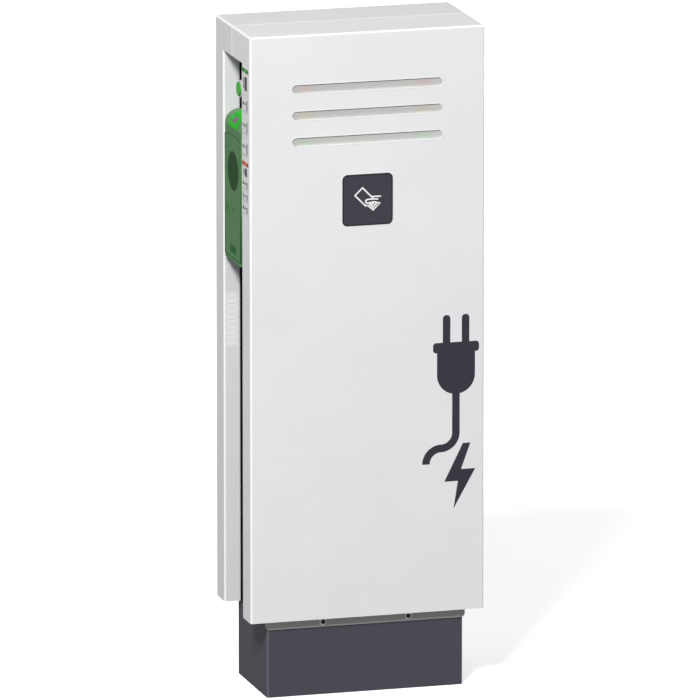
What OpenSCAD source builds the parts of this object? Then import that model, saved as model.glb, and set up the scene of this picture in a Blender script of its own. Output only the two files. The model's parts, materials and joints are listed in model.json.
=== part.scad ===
// Twin outlet charging post for electric cars, standing on a plinth.
// Origin on the ground under the middle of the cabinet, +Z up, -Y is the front with the card reader.

/* [Cabinet] */
// Width of the cabinet over its side faces
cabinet_w = 467; // [400:1:580]
// Depth of the cabinet over its front and rear faces
cabinet_d = 244; // [215:1:300]
// Height of the cabinet's top face above the ground
cabinet_top = 1300; // [1180:1:1580]
// Height of the cabinet's lower edge above the ground
skirt_z = 153; // [130:1:200]
// Thickness of the cabinet's painted steel sheet
sheet_t = 2; // [1.5:0.1:2.5]
// Outer radius of the bends in the sheet
bend_r = 4; // [3:0.1:7]
// How far the seam between cover and rear shell lies behind the middle
seam_y = 4; // [-10:1:14]
// Width of the seam
seam_gap = 0.8; // [0.4:0.1:1.5]

/* [Side recesses] */
// Height of the closed band above both recesses
band_h = 58.5; // [45:0.5:75]
// Depth of the cover's side faces, front to back
cover_side_d = 58; // [48:1:68]
// Depth of the rear shell's side faces, front to back
shell_side_d = 56; // [46:1:66]
// Width of the folded wall that lines a recess
lining_w = 34; // [28:1:35]
// Depth of a recess, from the side face to its floor
recess_depth = 37; // [36:0.5:44]

/* [Front cover] */
// Length of a light slot
slot_l = 298.5; // [200:0.5:330]
// Height of a light slot
slot_h = 16.5; // [12:0.5:22]
// Distance from one light slot to the next
slot_pitch = 51.4; // [40:0.1:60]
// Distance from the cabinet's top to the first light slot
slot_drop = 105.5; // [95:0.5:120]
// Side of the square reader window
reader_w = 100; // [80:1:120]
// Corner radius of the reader window
reader_r = 10; // [4:1:16]
// Distance from the cabinet's top to the middle of the reader window
reader_drop = 327.5; // [310:0.5:360]
// Play round the reader window
reader_gap = 0.3; // [0.2:0.1:1]
// Distance of the light window behind the front face
window_depth = 18; // [12:1:24]
// Thickness of the vinyl graphics
vinyl_t = 0.2; // [0.1:0.05:0.4]

/* [Plinth] */
// Width of the plinth
plinth_w = 393; // [330:1:400]
// Depth of the plinth
plinth_d = 207; // [170:1:214]
// Wall of the plinth
plinth_t = 3; // [2:0.5:5]
// Distance from the cabinet's front face to the plinth's front face
plinth_setback = 17; // [15:1:24]
// Thickness of the plinth's foot plate
foot_t = 5; // [4:0.5:8]
// Radius of the anchor holes in the foot plate
anchor_r = 6; // [4:0.5:8]
// Distance between the anchor holes across the post
anchor_dx = 300; // [220:5:310]
// Distance between the anchor holes, front to back
anchor_dy = 140; // [100:5:145]
// Thickness of the black bottom tray
tray_t = 6.5; // [5:0.5:9]
// Height of the grey rail under the cover
rail_h = 18.5; // [16:0.5:24]
// Play between the cover's tabs and the rail
tab_gap = 0.3; // [0.2:0.1:0.6]

/* [Socket hoods] */
// Width of a hood, front to back
hood_w = 122; // [110:1:123]
// Height of a hood
hood_h = 287; // [250:1:340]
// Distance from the cabinet's top to the top of a hood
hood_drop = 173.5; // [165:0.5:200]
// Radius of a hood's rounded shoulder
hood_r = 28; // [20:1:30]
// Wall of a hood
hood_t = 2.5; // [2:0.1:3.5]
// Play between a hood and the floor of its recess
hood_gap = 1.5; // [1.2:0.1:2.5]
// Width of the bright arm that carries a hood
arm_w = 55; // [46:1:62]
// Radius of the hinge pin
pin_r = 3; // [2:0.1:4]
// Running play of the hinge pin, on the radius
pin_play = 0.05; // [0.01:0.01:0.1]
// Gap between moving parts at the hinge
hinge_gap = 0.5; // [0.3:0.1:1]
// Diameter of the dark disc in a hood
disc_d = 76; // [50:1:90]

/* [Outlets] */
// Distance from the cabinet's top to the middle of an outlet
socket_drop = 290; // [275:1:310]
// Inner radius of an outlet's mouth
socket_r = 29; // [27:0.5:31]
// Wall of an outlet
socket_t = 3; // [2.5:0.1:4]
// Radius of the insulating core in an outlet
core_r = 22; // [21:0.5:23]
// Depth of an outlet's mouth
mouth_l = 42; // [36:1:48]
// Radius of a locking pin
lock_r = 2.5; // [2:0.1:3.5]
// Distance from the cabinet's top to the middle of a button
button_drop = 123; // [112:1:128]
// Radius of a button's lens
button_r = 13.5; // [11:0.5:15]
// Travel of a button
button_travel = 3; // [2:0.5:4]

/* [Equipment] */
// Width of one module of the DIN rail equipment
module_w = 18; // [16:0.5:18.5]
// Depth of the DIN rail equipment in front of the rail
module_d = 62; // [50:1:66]
// Thickness of the mounting plate
plate_t = 2; // [1.5:0.5:3]
// Gap between the mounting plate and the cabinet's back wall
plate_gap = 30; // [20:1:34]
// Height of the circuit breakers above the ground
breaker_z = 690; // [640:5:720]
// Height of the contactors above the ground
contactor_z = 880; // [860:5:900]
// Height of the terminal block above the ground
terminal_z = 440; // [380:5:480]
// Radius of the cable glands' thread
gland_r = 20; // [12:0.5:22]
// Radius of the power cables
cable_r = 8; // [5:0.5:10]

/* [Hidden] */
$fn = 64;

hw = cabinet_w / 2;                           // side face
hd = cabinet_d / 2;                           // front and rear faces
recess_z = cabinet_top - band_h;              // top of a recess
recess_y0 = -hd + cover_side_d;               // front edge of a recess
recess_y1 = hd - shell_side_d;                // rear edge of a recess
recess_mid = (recess_y0 + recess_y1) / 2;
floor_x = hw - recess_depth;                  // floor of a recess
lining_x = hw - lining_w;                     // inner edge of a recess's lining
lining_d = 34;                                // how far the lining folds back
panel_x = floor_x - sheet_t;                  // inner face of a side panel
panel_front = -hd + 22;
seam_front = seam_y - seam_gap / 2;
seam_rear = seam_y + seam_gap / 2;
roof_z = cabinet_top - sheet_t;               // underside of the roof

plinth_y0 = -hd + plinth_setback;
plinth_y1 = plinth_y0 + plinth_d;
plinth_mid = (plinth_y0 + plinth_y1) / 2;
plinth_r = 5;
tray_z = skirt_z - tray_t;                    // underside of the tray, top of the plinth
tray_over = 2.5;                              // how far the tray stands out past the side panels
rail_y = plinth_y0 - sheet_t;                 // front face of the grey rail
tab_y = rail_y - tab_gap;                     // rear face of the cover's tabs
rail_r = 8;
tab_x = 85.4;
tab_r = 7;
screw_z = skirt_z - 8;
screw_r = 2;
bolt_r = 4;
bolt_play = 0.3;
tray_bolt_x = plinth_w / 2 - 22;
tray_bolt_y = plinth_d / 2 - 24;
tray_w = 2 * (floor_x + tray_over);           // reaches out under both side panels
tray_y1 = plinth_y1 - 2;                      // rear edge of the tray
gland_x = [-70, 0, 70];
gland_y = 20;
gland_play = 0.5;

foot_lip = 15;                                // width of the fold under the rear shell's columns
lip_z = roof_z - 1.8;                         // top of the lip under the cover's rear edge
lip_y0 = seam_y - 20;                         // front edge of that lip
hook_x = 130;
hook_w = 40;
plate_screw_x = 150;
plate_screw_z = [skirt_z + 77, (skirt_z + cabinet_top) / 2, cabinet_top - 110];
label_w = 47;
label_y = [-hd + 9, -hd + 9 + label_w];
label_z = [cabinet_top - 357.8, cabinet_top - 64.3];
graphic_w = 92;
graphic_x = hw - 10.7 - graphic_w / 2;
graphic_z = skirt_z + 202;

slot_z = [for (i = [0:2]) cabinet_top - slot_drop - i * slot_pitch];
light_y = -hd + window_depth;                 // front face of the light window
light_t = 2;
light_w = slot_l + 24;
light_h = 2 * slot_pitch + slot_h + 20;
led_x = 117.5;
reader_z = cabinet_top - reader_drop;

hood_u1 = recess_depth - 1;                   // distances u run outwards from a recess's floor
hood_top = cabinet_top - hood_drop;
hood_z0 = hood_top - hood_h;
knuckle_r = 8;
hinge_u = knuckle_r + 1;
hinge_z = hood_top - 3;
shoulder_u = hood_u1 - hood_r;                // centre of the rounded shoulder
shoulder_z = hood_top - hood_r;
arm_over = 1;                                 // how far the arm stands proud of the hood
arm_y = recess_mid + 1.5;                     // middle of the arm
arm_z0 = shoulder_z + 3;
ear_t = 5;
ear_mid = arm_w / 2 + hinge_gap + ear_t / 2;  // from the arm's middle to the middle of an ear
pin_end = ear_mid + ear_t / 2 + 1.5;          // from the arm's middle to the end of the pin
tab_u = hood_u1 - hood_t - 3;                 // inner face of the arm's tab behind the hood's wall
disc_z = hood_top - 109;
grip_z = hood_top - 263;
grip_w = 39.6;
grip_h = 14.6;
inlay_t = 1;                                  // depth of the disc and the grip in the hood
inlay_gap = 0.2;
lock_y = recess_mid + 40.7;
lock_z = hood_top - 189;

socket_z = cabinet_top - socket_drop;
socket_l = 62;                                // length of an outlet behind the recess's floor
socket_out = 12;                              // how far its collar stands out of the floor
button_z = cabinet_top - button_drop;
bezel_r = button_r + 3.3;
bezel_out = recess_depth - 13.5;
lens_out = recess_depth - 11;
stem_r = 4;
stem_l = 14;
// Places of the seven contacts in an outlet, upwards against the first axis, and their radii
contact_at = [[0, 0], [0, 13], [0, -13], [12.5, 7], [12.5, -7], [-11.5, 6.5], [-11.5, -6.5]];
contact_r = [4.2, 4.2, 4.2, 4.2, 4.2, 2.8, 2.8];
contact_wall = 1;
mouth_floor = socket_out - mouth_l;           // inner end of an outlet's mouth, from the recess's floor
core_drop = 2;                                // how far the core ends behind the collar's edge
core_foot = 3;                                // floor of the core under its contacts

plate_y = hd - sheet_t - plate_gap;           // rear face of the mounting plate
plate_front = plate_y - plate_t;
rail_d = 7.5;                                 // depth of a DIN rail
din_front = plate_front - rail_d;             // face that the equipment stands on
din_z = [terminal_z, breaker_z, contactor_z];
breaker_h = 85;
contactor_h = 86;
cable_gap = 0.9;                              // gap between a cable's end and its device
breaker_x = 62;
meter_x = 130;
toggle_r = 6;

function unit(v) = v / norm(v);
function at(list, i) = list[min(max(i, 0), len(list) - 1)];
// Points of a Catmull-Rom curve through the route's points
function curve(p, n) = [
    for (i = [0:len(p) - 2], j = [0:n - 1])
        let (t = j / n, a = at(p, i - 1), b = p[i], c = p[i + 1], d = at(p, i + 2))
            0.5 * (2 * b + t * (c - a) + t * t * (2 * a - 5 * b + 4 * c - d)
                + t * t * t * (3 * b - a - 3 * c + d)),
    p[len(p) - 1]
];

// Box between two corners
module block(low, high) {
    translate(low) cube(high - low);
}

// Rectangle with round corners, about the origin
module round_rect(w, h, r) {
    square([w - 2 * r, h], center = true);
    square([w, h - 2 * r], center = true);
    for (i = [-1, 1], j = [-1, 1])
        translate([i * (w / 2 - r), j * (h / 2 - r)]) circle(r);
}

// Slot with round ends, about the origin
module slot(l, h) {
    square([l - h, h], center = true);
    for (i = [-1, 1])
        translate([i * (l - h) / 2, 0]) circle(h / 2);
}

// Stands a drawing in X and Z up and gives it a thickness behind y
module upright(y, t) {
    translate([0, y + t, 0]) rotate([90, 0, 0]) linear_extrude(t) children();
}

// Stands a drawing in u and Z up on the right side and extrudes it front to back
module profile(y0, y1) {
    translate([floor_x, y1, 0]) rotate([90, 0, 0]) linear_extrude(y1 - y0) children();
}

// Stands a drawing in Y and Z up, from u0 to u1 outside the recess's floor
module facing(u0, u1) {
    translate([floor_x + u0, 0, 0]) rotate([90, 0, 90]) linear_extrude(u1 - u0) children();
}

// Cylinder along X, outwards from u0 to u1
module rod_out(y, z, r, u0, u1) {
    translate([floor_x + u0, y, z]) rotate([0, 90, 0]) cylinder(h = u1 - u0, r = r);
}

// Cylinder along Y
module rod_back(x, z, r, y0, y1) {
    translate([x, y1, z]) rotate([90, 0, 0]) cylinder(h = y1 - y0, r = r);
}

// Puts what is drawn on the right side on side s, -1 left or 1 right
module on_side(s) {
    if (s > 0) children();
    else mirror([1, 0, 0]) children();
}

// Box with its upright, crosswise and lengthwise edges rounded, standing on z = 0
module soft_box(w, d, h, r) {
    intersection() {
        linear_extrude(h) round_rect(w, d, r);
        translate([0, d / 2, h / 2]) rotate([90, 0, 0]) linear_extrude(d) round_rect(w, h, r);
        translate([-w / 2, 0, h / 2]) rotate([90, 0, 90]) linear_extrude(w) round_rect(d, h, r);
    }
}

// The whole folded cabinet, before it is cut into cover and rear shell
module folded_sheet() {
    base = skirt_z - 3 * bend_r;
    difference() {
        translate([0, 0, base]) soft_box(cabinet_w, cabinet_d, cabinet_top - base, bend_r);
        translate([0, 0, base - sheet_t])
            soft_box(cabinet_w - 2 * sheet_t, cabinet_d - 2 * sheet_t,
                cabinet_top - base, bend_r - sheet_t);
    }
}

// Folded column beside a recess: its open inner side is at dir * lining_d from the recess
module lining(y, dir) {
    d = 2 * lining_d;
    translate([0, 0, skirt_z]) linear_extrude(recess_z + sheet_t - skirt_z) difference() {
        translate([lining_x + lining_w / 2, y + dir * d / 2]) round_rect(lining_w, d, bend_r);
        translate([lining_x + lining_w / 2, y + dir * d / 2])
            round_rect(lining_w - 2 * sheet_t, d - 2 * sheet_t, bend_r - sheet_t);
        translate([lining_x + lining_w / 2, y + dir * (lining_d + d / 2)])
            square([lining_w + 2, d], center = true);
    }
}

module plinth() {
    color("#4c4c55") difference() {
        union() {
            translate([0, plinth_mid, 0]) linear_extrude(tray_z) difference() {
                round_rect(plinth_w, plinth_d, plinth_r);
                round_rect(plinth_w - 2 * plinth_t, plinth_d - 2 * plinth_t, plinth_r - plinth_t / 2);
            }
            for (z = [0, tray_z - plinth_t])
                translate([0, plinth_mid, z])
                    linear_extrude(z == 0 ? foot_t : plinth_t) difference() {
                        round_rect(plinth_w, plinth_d, plinth_r);
                        round_rect(plinth_w - 130, plinth_d - 90, 12);
                    }
        }
        for (x = [-1, 1], y = [-1, 1]) {
            translate([x * anchor_dx / 2, plinth_mid + y * anchor_dy / 2, -1])
                cylinder(h = foot_t + 2, r = anchor_r);
            translate([x * tray_bolt_x, plinth_mid + y * tray_bolt_y, tray_z - plinth_t - 1])
                cylinder(h = plinth_t + 2, r = bolt_r + bolt_play);
        }
    }
}

// Black plate between plinth and cabinet, with a chamfered lower edge
module bottom_tray() {
    c = tray_over;
    color("#1c1c1f") difference() {
        intersection() {
            upright(plinth_y0, tray_y1 - plinth_y0)
                polygon([[-tray_w / 2 + c, tray_z], [tray_w / 2 - c, tray_z],
                    [tray_w / 2, tray_z + c], [tray_w / 2, skirt_z],
                    [-tray_w / 2, skirt_z], [-tray_w / 2, tray_z + c]]);
            translate([0, (plinth_y0 + tray_y1) / 2, tray_z])
                linear_extrude(tray_t) round_rect(tray_w, tray_y1 - plinth_y0, plinth_r);
        }
        for (x = gland_x)
            translate([x, gland_y, tray_z - 1]) cylinder(h = tray_t + 2, r = gland_r + gland_play);
        for (x = [-1, 1], y = [-1, 1])
            translate([x * tray_bolt_x, plinth_mid + y * tray_bolt_y, tray_z - 1])
                cylinder(h = tray_t + 2, r = bolt_r + bolt_play);
    }
}

// Hexagon bolts that hold the tray on the plinth
module tray_bolts() {
    color("silver")
        for (x = [-1, 1], y = [-1, 1])
            translate([x * tray_bolt_x, plinth_mid + y * tray_bolt_y, 0]) {
                translate([0, 0, skirt_z]) cylinder(h = 5.3, r = 7.5, $fn = 6);
                translate([0, 0, tray_z - plinth_t - 12]) cylinder(h = tray_t + plinth_t + 13, r = bolt_r);
                translate([0, 0, tray_z - plinth_t - 6.5]) cylinder(h = 6.5, r = 7.5, $fn = 6);
            }
}

// Grey rail in front of the plinth, which the cover's tabs are screwed to
module lower_rail() {
    w = plinth_w + 7;
    color("#707070") difference() {
        union() {
            upright(rail_y, sheet_t) {
                translate([0, skirt_z - rail_h / 2]) round_rect(w, rail_h, rail_r);
                translate([-w / 2, skirt_z - rail_r - 1]) square([w, rail_r + 1]);
            }
            block([16 - panel_x, rail_y, skirt_z], [panel_x - 16, rail_y + 13, skirt_z + sheet_t]);
        }
        for (x = [-1, 1])
            rod_back(x * tab_x, screw_z, screw_r + 1.6, rail_y - 1, rail_y + sheet_t + 1);
    }
}

module rear_shell() {
    color("#dcdcde") difference() {
        union() {
            intersection() {
                folded_sheet();
                union() {
                    block([-hw - 1, seam_rear, recess_z], [hw + 1, hd + 1, cabinet_top + 1]);
                    block([-hw - 1, recess_y1 + bend_r, skirt_z], [hw + 1, hd + 1, cabinet_top + 1]);
                }
            }
            for (s = [-1, 1]) on_side(s) {
                lining(recess_y1, 1);
                block([lining_x, seam_rear, recess_z], [hw - 1, recess_y1 + bend_r, recess_z + sheet_t]);
                block([lining_x, hd - foot_lip, skirt_z], [hw - 1, hd - 1, skirt_z + sheet_t]);
            }
            block([-lining_x - 1, plate_y, skirt_z], [lining_x + 1, hd - 1, skirt_z + sheet_t]);
            block([-panel_x, lip_y0, lip_z - sheet_t], [panel_x, seam_y + 16, lip_z]);
            block([-panel_x, seam_y + 2, lip_z], [panel_x, seam_y + 16, roof_z]);
        }
        for (x = [-1, 1])
            block([x * hook_x - hook_w / 2 - 2, lip_y0 - 1, lip_z - sheet_t - 1],
                [x * hook_x + hook_w / 2 + 2, seam_y - 4, lip_z + 1]);
        for (x = [-1, 1], z = plate_screw_z) {
            rod_back(x * plate_screw_x, z, screw_r + 0.5, hd - sheet_t - 1, hd + 1);
            translate([x * plate_screw_x, hd + 0.01, z]) rotate([90, 0, 0])
                cylinder(h = sheet_t, r1 = 4.5, r2 = screw_r + 0.5);
        }
    }
}

module front_cover() {
    color("#e6e6e8") difference() {
        union() {
            intersection() {
                folded_sheet();
                union() {
                    block([-hw - 1, -hd - 1, recess_z], [hw + 1, seam_front, cabinet_top + 1]);
                    block([-hw - 1, -hd - 1, skirt_z],
                        [hw + 1, recess_y0 - bend_r, cabinet_top + 1]);
                }
            }
            for (s = [-1, 1]) on_side(s) {
                lining(recess_y0, -1);
                block([lining_x, recess_y0 - bend_r, recess_z],
                    [hw - 1, seam_front, recess_z + sheet_t]);
            }
            block([-hw + 1, -hd + 1, skirt_z], [hw - 1, tab_y, skirt_z + sheet_t]);
            upright(tab_y - sheet_t, sheet_t)
                for (x = [-1, 1]) {
                    translate([x * tab_x, screw_z]) circle(tab_r);
                    translate([x * tab_x - tab_r, screw_z]) square([2 * tab_r, 9]);
                }
        }
        upright(-hd - 1, sheet_t + 2) {
            for (z = slot_z) translate([0, z]) slot(slot_l, slot_h);
            translate([0, reader_z])
                round_rect(reader_w + 2 * reader_gap, reader_w + 2 * reader_gap,
                    reader_r + reader_gap);
        }
        for (x = [-1, 1])
            rod_back(x * tab_x, screw_z, screw_r + pin_play, tab_y - sheet_t - 1, tab_y + 1);
    }
}

// Two folded hooks under the cover's roof that reach in under the rear shell's lip
module cover_hooks() {
    y = lip_y0 + 5;
    color("silver")
        for (x = [-1, 1]) {
            low = x * hook_x - hook_w / 2;
            block([low, y, lip_z - 6], [low + hook_w, y + 2, roof_z]);
            block([low, y - 12, roof_z - 2], [low + hook_w, y + 2, roof_z]);
            block([low, y, lip_z - 6], [low + hook_w, seam_y + 4, lip_z - 4]);
        }
}

// Rubber strip on the lip that seals the roof
module cover_seal() {
    color("#202022") block([-hook_x + 30, lip_y0 + 2, lip_z], [hook_x - 30, seam_y - 2, roof_z - 0.3]);
}

// Captive screws in the cover's tabs
module cover_screws() {
    y = tab_y - sheet_t;
    color("#38383a")
        for (x = [-1, 1]) difference() {
            union() {
                rod_back(x * tab_x, screw_z, 4.4, y - 2, y);
                rod_back(x * tab_x, screw_z, screw_r, y - 1, rail_y + sheet_t - 0.3);
            }
            rod_back(x * tab_x, screw_z, 2, y - 3, y - 0.8);
        }
}

// Dark sheet that forms the floor of a recess and carries its outlet
module side_panel(s) {
    color("#151517") on_side(s) difference() {
        union() {
            block([panel_x, panel_front, skirt_z], [floor_x, plate_y, recess_z + 24]);
            block([panel_x - 12, panel_front, skirt_z], [floor_x, panel_front + sheet_t, recess_z + 24]);
            block([panel_x - 12, panel_front, skirt_z], [floor_x, -hd + 50, skirt_z + sheet_t]);
        }
        rod_out(recess_mid, socket_z, socket_r + socket_t + 0.5, -sheet_t - 1, 1);
        rod_out(recess_mid, button_z, stem_r + 1, -sheet_t - 1, 1);
        for (y = [-1, 1])
            facing(-sheet_t - 1, 1)
                translate([arm_y + y * ear_mid, hinge_z]) square([ear_t + 0.2, 16.2], center = true);
    }
}

module mounting_plate() {
    color("#b9bcc0") difference() {
        block([-panel_x, plate_front, skirt_z + 30], [panel_x, plate_y, recess_z - 12]);
        for (x = [-1, 1], z = plate_screw_z)
            rod_back(x * plate_screw_x, z, screw_r + 0.5, plate_front - 1, plate_y + 1);
        for (z = [terminal_z - 90, contactor_z + 75])
            translate([0, 0, z]) upright(plate_front - 1, plate_t + 2) slot(180, 24);
    }
}

// Spacers between mounting plate and back wall, with their screws
module plate_screws() {
    color("silver")
        for (x = [-1, 1], z = plate_screw_z) {
            rod_back(x * plate_screw_x, z, 6, plate_y, hd - sheet_t);
            rod_back(x * plate_screw_x, z, screw_r, plate_front - 3, hd - 0.3);
            rod_back(x * plate_screw_x, z, 4, plate_front - 2.5, plate_front);
            translate([x * plate_screw_x, hd - 0.1, z]) rotate([90, 0, 0])
                cylinder(h = sheet_t - 0.2, r1 = 4.3, r2 = screw_r + 0.2);
        }
}

// Outline of a hood's outer face in Y and Z, smaller by inset
module hood_face(inset) {
    h = hood_h + 40;
    translate([recess_mid, hood_z0 + h / 2]) round_rect(hood_w - 2 * inset, h - 2 * inset, 8 - inset);
}

// Section of a hood in u and Z, smaller by inset at its outer side, ends and shoulder
module hood_section(inset, u0) {
    intersection() {
        translate([u0, hood_z0 + inset]) square([hood_u1 - inset - u0, hood_h - 2 * inset]);
        union() {
            translate([shoulder_u, shoulder_z]) circle(hood_r - inset);
            translate([u0, hood_z0]) square([hood_u1 - u0, shoulder_z - hood_z0]);
            translate([u0, hood_z0]) square([shoulder_u - u0, hood_h]);
        }
    }
}

// Translucent hood: a tray open towards the recess's floor, with a rounded shoulder
module flap(s) {
    y0 = recess_mid - hood_w / 2;
    y1 = recess_mid + hood_w / 2;
    color("#547a56") on_side(s) difference() {
        intersection() {
            profile(y0, y1) hood_section(0, hood_gap);
            facing(0, recess_depth) hood_face(0);
            translate([floor_x + hood_u1 - 30, recess_mid, hood_z0])
                linear_extrude(hood_h + 1) round_rect(60, hood_w, 5);
        }
        intersection() {
            profile(y0 + hood_t, y1 - hood_t) hood_section(hood_t, -1);
            facing(-1, recess_depth) hood_face(hood_t);
        }
        // strip for the arm, and room for the ears
        block([floor_x - 1, arm_y - arm_w / 2, arm_z0], [hw + 1, arm_y + arm_w / 2, hood_top + 1]);
        block([floor_x - 1, arm_y - pin_end - 1, hinge_z - knuckle_r - 4],
            [floor_x + hinge_u + knuckle_r + 1.5, arm_y + pin_end + 1, hood_top + 1]);
        // pockets for the disc and the grip, hole for the lock
        rod_out(recess_mid, disc_z, disc_d / 2 + inlay_gap, hood_u1 - inlay_t, hood_u1 + 1);
        facing(hood_u1 - inlay_t, hood_u1 + 1)
            translate([recess_mid + 0.5, grip_z])
                square([grip_w + 2 * inlay_gap, grip_h + 2 * inlay_gap], center = true);
        rod_out(lock_y, lock_z, 10.75, hood_u1 - hood_t - 1, hood_u1 + 1);
    }
}

// Ring sector of the shoulder, between two distances from the hood's surface
module shoulder_band(inner, outer) {
    difference() {
        intersection() {
            translate([shoulder_u, shoulder_z]) circle(hood_r + outer);
            translate([shoulder_u, arm_z0]) square(2 * hood_r);
        }
        translate([shoulder_u, shoulder_z]) circle(hood_r - inner);
    }
}

module insert_zone() {
    block([floor_x + shoulder_u, arm_y - 14, hood_top - 16], [hw + 1, arm_y + 14, hood_top - 5]);
}

// Bright arm over the hood's shoulder, with the hinge knuckle
module flap_arm(s) {
    y0 = arm_y - arm_w / 2;
    y1 = arm_y + arm_w / 2;
    color("#1f9a2c") on_side(s) difference() {
        union() {
            profile(y0, y1) {
                shoulder_band(hood_t + 1.5, arm_over);
                translate([hinge_u, hinge_z]) circle(knuckle_r);
                polygon([[hinge_u, hinge_z + knuckle_r], [hinge_u + 15, hood_top - 2],
                    [hinge_u + 13, hood_top - 7], [hinge_u, hinge_z - knuckle_r]]);
            }
            block([floor_x + tab_u, y0 + 6, arm_z0 - 18], [floor_x + tab_u + 3, y1 - 6, shoulder_z]);
            block([floor_x + tab_u, y0 + 6, shoulder_z - 1],
                [floor_x + tab_u + 2.5, y1 - 6, arm_z0 + 4]);
        }
        rod_back(floor_x + hinge_u, hinge_z, pin_r + pin_play, y0 - 1, y1 + 1);
        intersection() {
            profile(y0, y1) shoulder_band(1, arm_over + 1);
            insert_zone();
        }
    }
}

// Grey window let into the arm
module flap_insert(s) {
    color("#736973") on_side(s) intersection() {
        profile(arm_y - arm_w / 2, arm_y + arm_w / 2) shoulder_band(1, arm_over);
        insert_zone();
    }
}

// Dark disc let into the hood's outer face
module flap_disc(s) {
    color("#2b4428") on_side(s) rod_out(recess_mid, disc_z, disc_d / 2, hood_u1 - inlay_t, hood_u1);
}

// Grip pad in the hood's lower edge
module flap_grip(s) {
    color("#235a23") on_side(s) facing(hood_u1 - inlay_t, hood_u1)
        translate([recess_mid + 0.5, grip_z]) square([grip_w, grip_h], center = true);
}

// Round lock plug in the hood
module flap_lock(s) {
    color("#41783c") on_side(s) difference() {
        union() {
            rod_out(lock_y, lock_z, 10.5, hood_u1 - hood_t - 4, hood_u1);
            rod_out(lock_y, lock_z, 13, hood_u1 - hood_t - 4, hood_u1 - hood_t);
        }
        facing(hood_u1 - 0.8, hood_u1 + 1) translate([lock_y, lock_z]) slot(9, 1.6);
    }
}

// Bracket behind the side panel with two ears that reach out through it
module hinge_bracket(s) {
    color("#8d9196") on_side(s) difference() {
        union() {
            facing(-sheet_t - 3, -sheet_t)
                translate([arm_y, hinge_z]) square([2 * ear_mid + ear_t + 16, 30], center = true);
            for (y = [-1, 1]) translate([0, arm_y + y * ear_mid, 0])
                profile(-ear_t / 2, ear_t / 2) {
                    translate([hinge_u, hinge_z]) circle(knuckle_r - 0.5);
                    translate([-sheet_t - 1, hinge_z - 7.5]) square([hinge_u + sheet_t + 1, 15]);
                }
        }
        rod_back(floor_x + hinge_u, hinge_z, pin_r + pin_play, arm_y - arm_w, arm_y + arm_w);
    }
}

// One headed pin at each hood's hinge
module hinge_pins() {
    color("silver") for (s = [-1, 1]) on_side(s) {
        rod_back(floor_x + hinge_u, hinge_z, pin_r, arm_y - pin_end, arm_y + pin_end);
        rod_back(floor_x + hinge_u, hinge_z, pin_r + 1, arm_y + pin_end - 1.5, arm_y + pin_end);
    }
}

// Outline of an outlet's mouth or core: a circle with a flat top
module flat_top(r) {
    intersection() {
        circle(r);
        translate([-r * 0.78, -r]) square([3 * r, 2 * r]);
    }
}

// Moves to an outlet's mouth: local Z runs outwards, local -X is up
module at_socket() {
    translate([floor_x, recess_mid, socket_z]) rotate([0, 90, 0]) children();
}

// Housing of an outlet for the car's charging plug: collar, flange and closed rear end
module socket(s) {
    color("#26262a") on_side(s) at_socket() difference() {
        union() {
            translate([0, 0, -socket_l]) cylinder(h = socket_l + socket_out, r = socket_r + socket_t);
            linear_extrude(4) round_rect(2 * socket_r + 18, 2 * socket_r + 18, 9);
            translate([0, 0, -socket_l - 10]) cylinder(h = 12, r = 16);
        }
        translate([0, 0, mouth_floor]) linear_extrude(mouth_l + 1) flat_top(socket_r);
        for (x = [-1, 1], y = [-1, 1])
            translate([x * (socket_r + 3.5), y * (socket_r + 3.5), -1]) cylinder(h = 6, r = 2.2);
        translate([0, socket_r + socket_t + 1, -18]) rotate([90, 0, 0])
            cylinder(h = socket_t + 8, r = lock_r + pin_play);
    }
}

// Insulating core that stands in an outlet's mouth and holds the contacts
module socket_core(s) {
    color("#303035") on_side(s) at_socket() difference() {
        translate([0, 0, mouth_floor]) linear_extrude(mouth_l - core_drop) flat_top(core_r);
        for (i = [0:len(contact_at) - 1])
            translate([contact_at[i][0], contact_at[i][1], mouth_floor + core_foot])
                cylinder(h = mouth_l, r = contact_r[i]);
    }
}

// Seven plated contact sleeves in an outlet's core
module contacts(s) {
    color("#c9a44a") on_side(s) at_socket()
        for (i = [0:len(contact_at) - 1])
            translate([contact_at[i][0], contact_at[i][1], mouth_floor + core_foot]) difference() {
                cylinder(h = mouth_l - core_drop - core_foot - 1, r = contact_r[i] - 0.05);
                translate([0, 0, 2]) cylinder(h = mouth_l, r = contact_r[i] - contact_wall);
            }
}

// Housing of the locking drive beside an outlet
module lock_actuator(s) {
    color("#3a3d42") on_side(s) at_socket() difference() {
        union() {
            translate([-15, socket_r + socket_t + 1, -50]) cube([30, 34, 44]);
            translate([-8, socket_r + socket_t - 4, -46]) cube([16, 6, 20]);
        }
        translate([0, 0, -socket_l - 1]) cylinder(h = socket_l + 2, r = socket_r + socket_t + 0.1);
        translate([0, socket_r + socket_t + 24, -18]) rotate([90, 0, 0])
            cylinder(h = 30, r = lock_r + pin_play);
    }
}

// Steel pin that locks the plug in an outlet
module lock_pin(s) {
    color("silver") on_side(s) at_socket()
        translate([0, socket_r + socket_t + 18, -18]) rotate([90, 0, 0])
            cylinder(h = socket_t + 17.5, r = lock_r);
}

// Green push button: domed lens on a stem
module button(s) {
    color("#3c963c") on_side(s) translate([floor_x, recess_mid, button_z]) rotate([0, 90, 0]) {
        difference() {
            cylinder(h = lens_out, r = button_r);
            translate([0, 0, -1]) cylinder(h = lens_out - 5, r = button_r - 2);
            translate([0, 0, -1]) cylinder(h = button_travel + 4, r = button_r + 1);
            translate([0, 0, lens_out + 40 - 1.8]) sphere(r = 40 - 1.2, $fn = 96);
        }
        translate([0, 0, -stem_l]) cylinder(h = stem_l + lens_out - 5, r = stem_r);
    }
}

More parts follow.
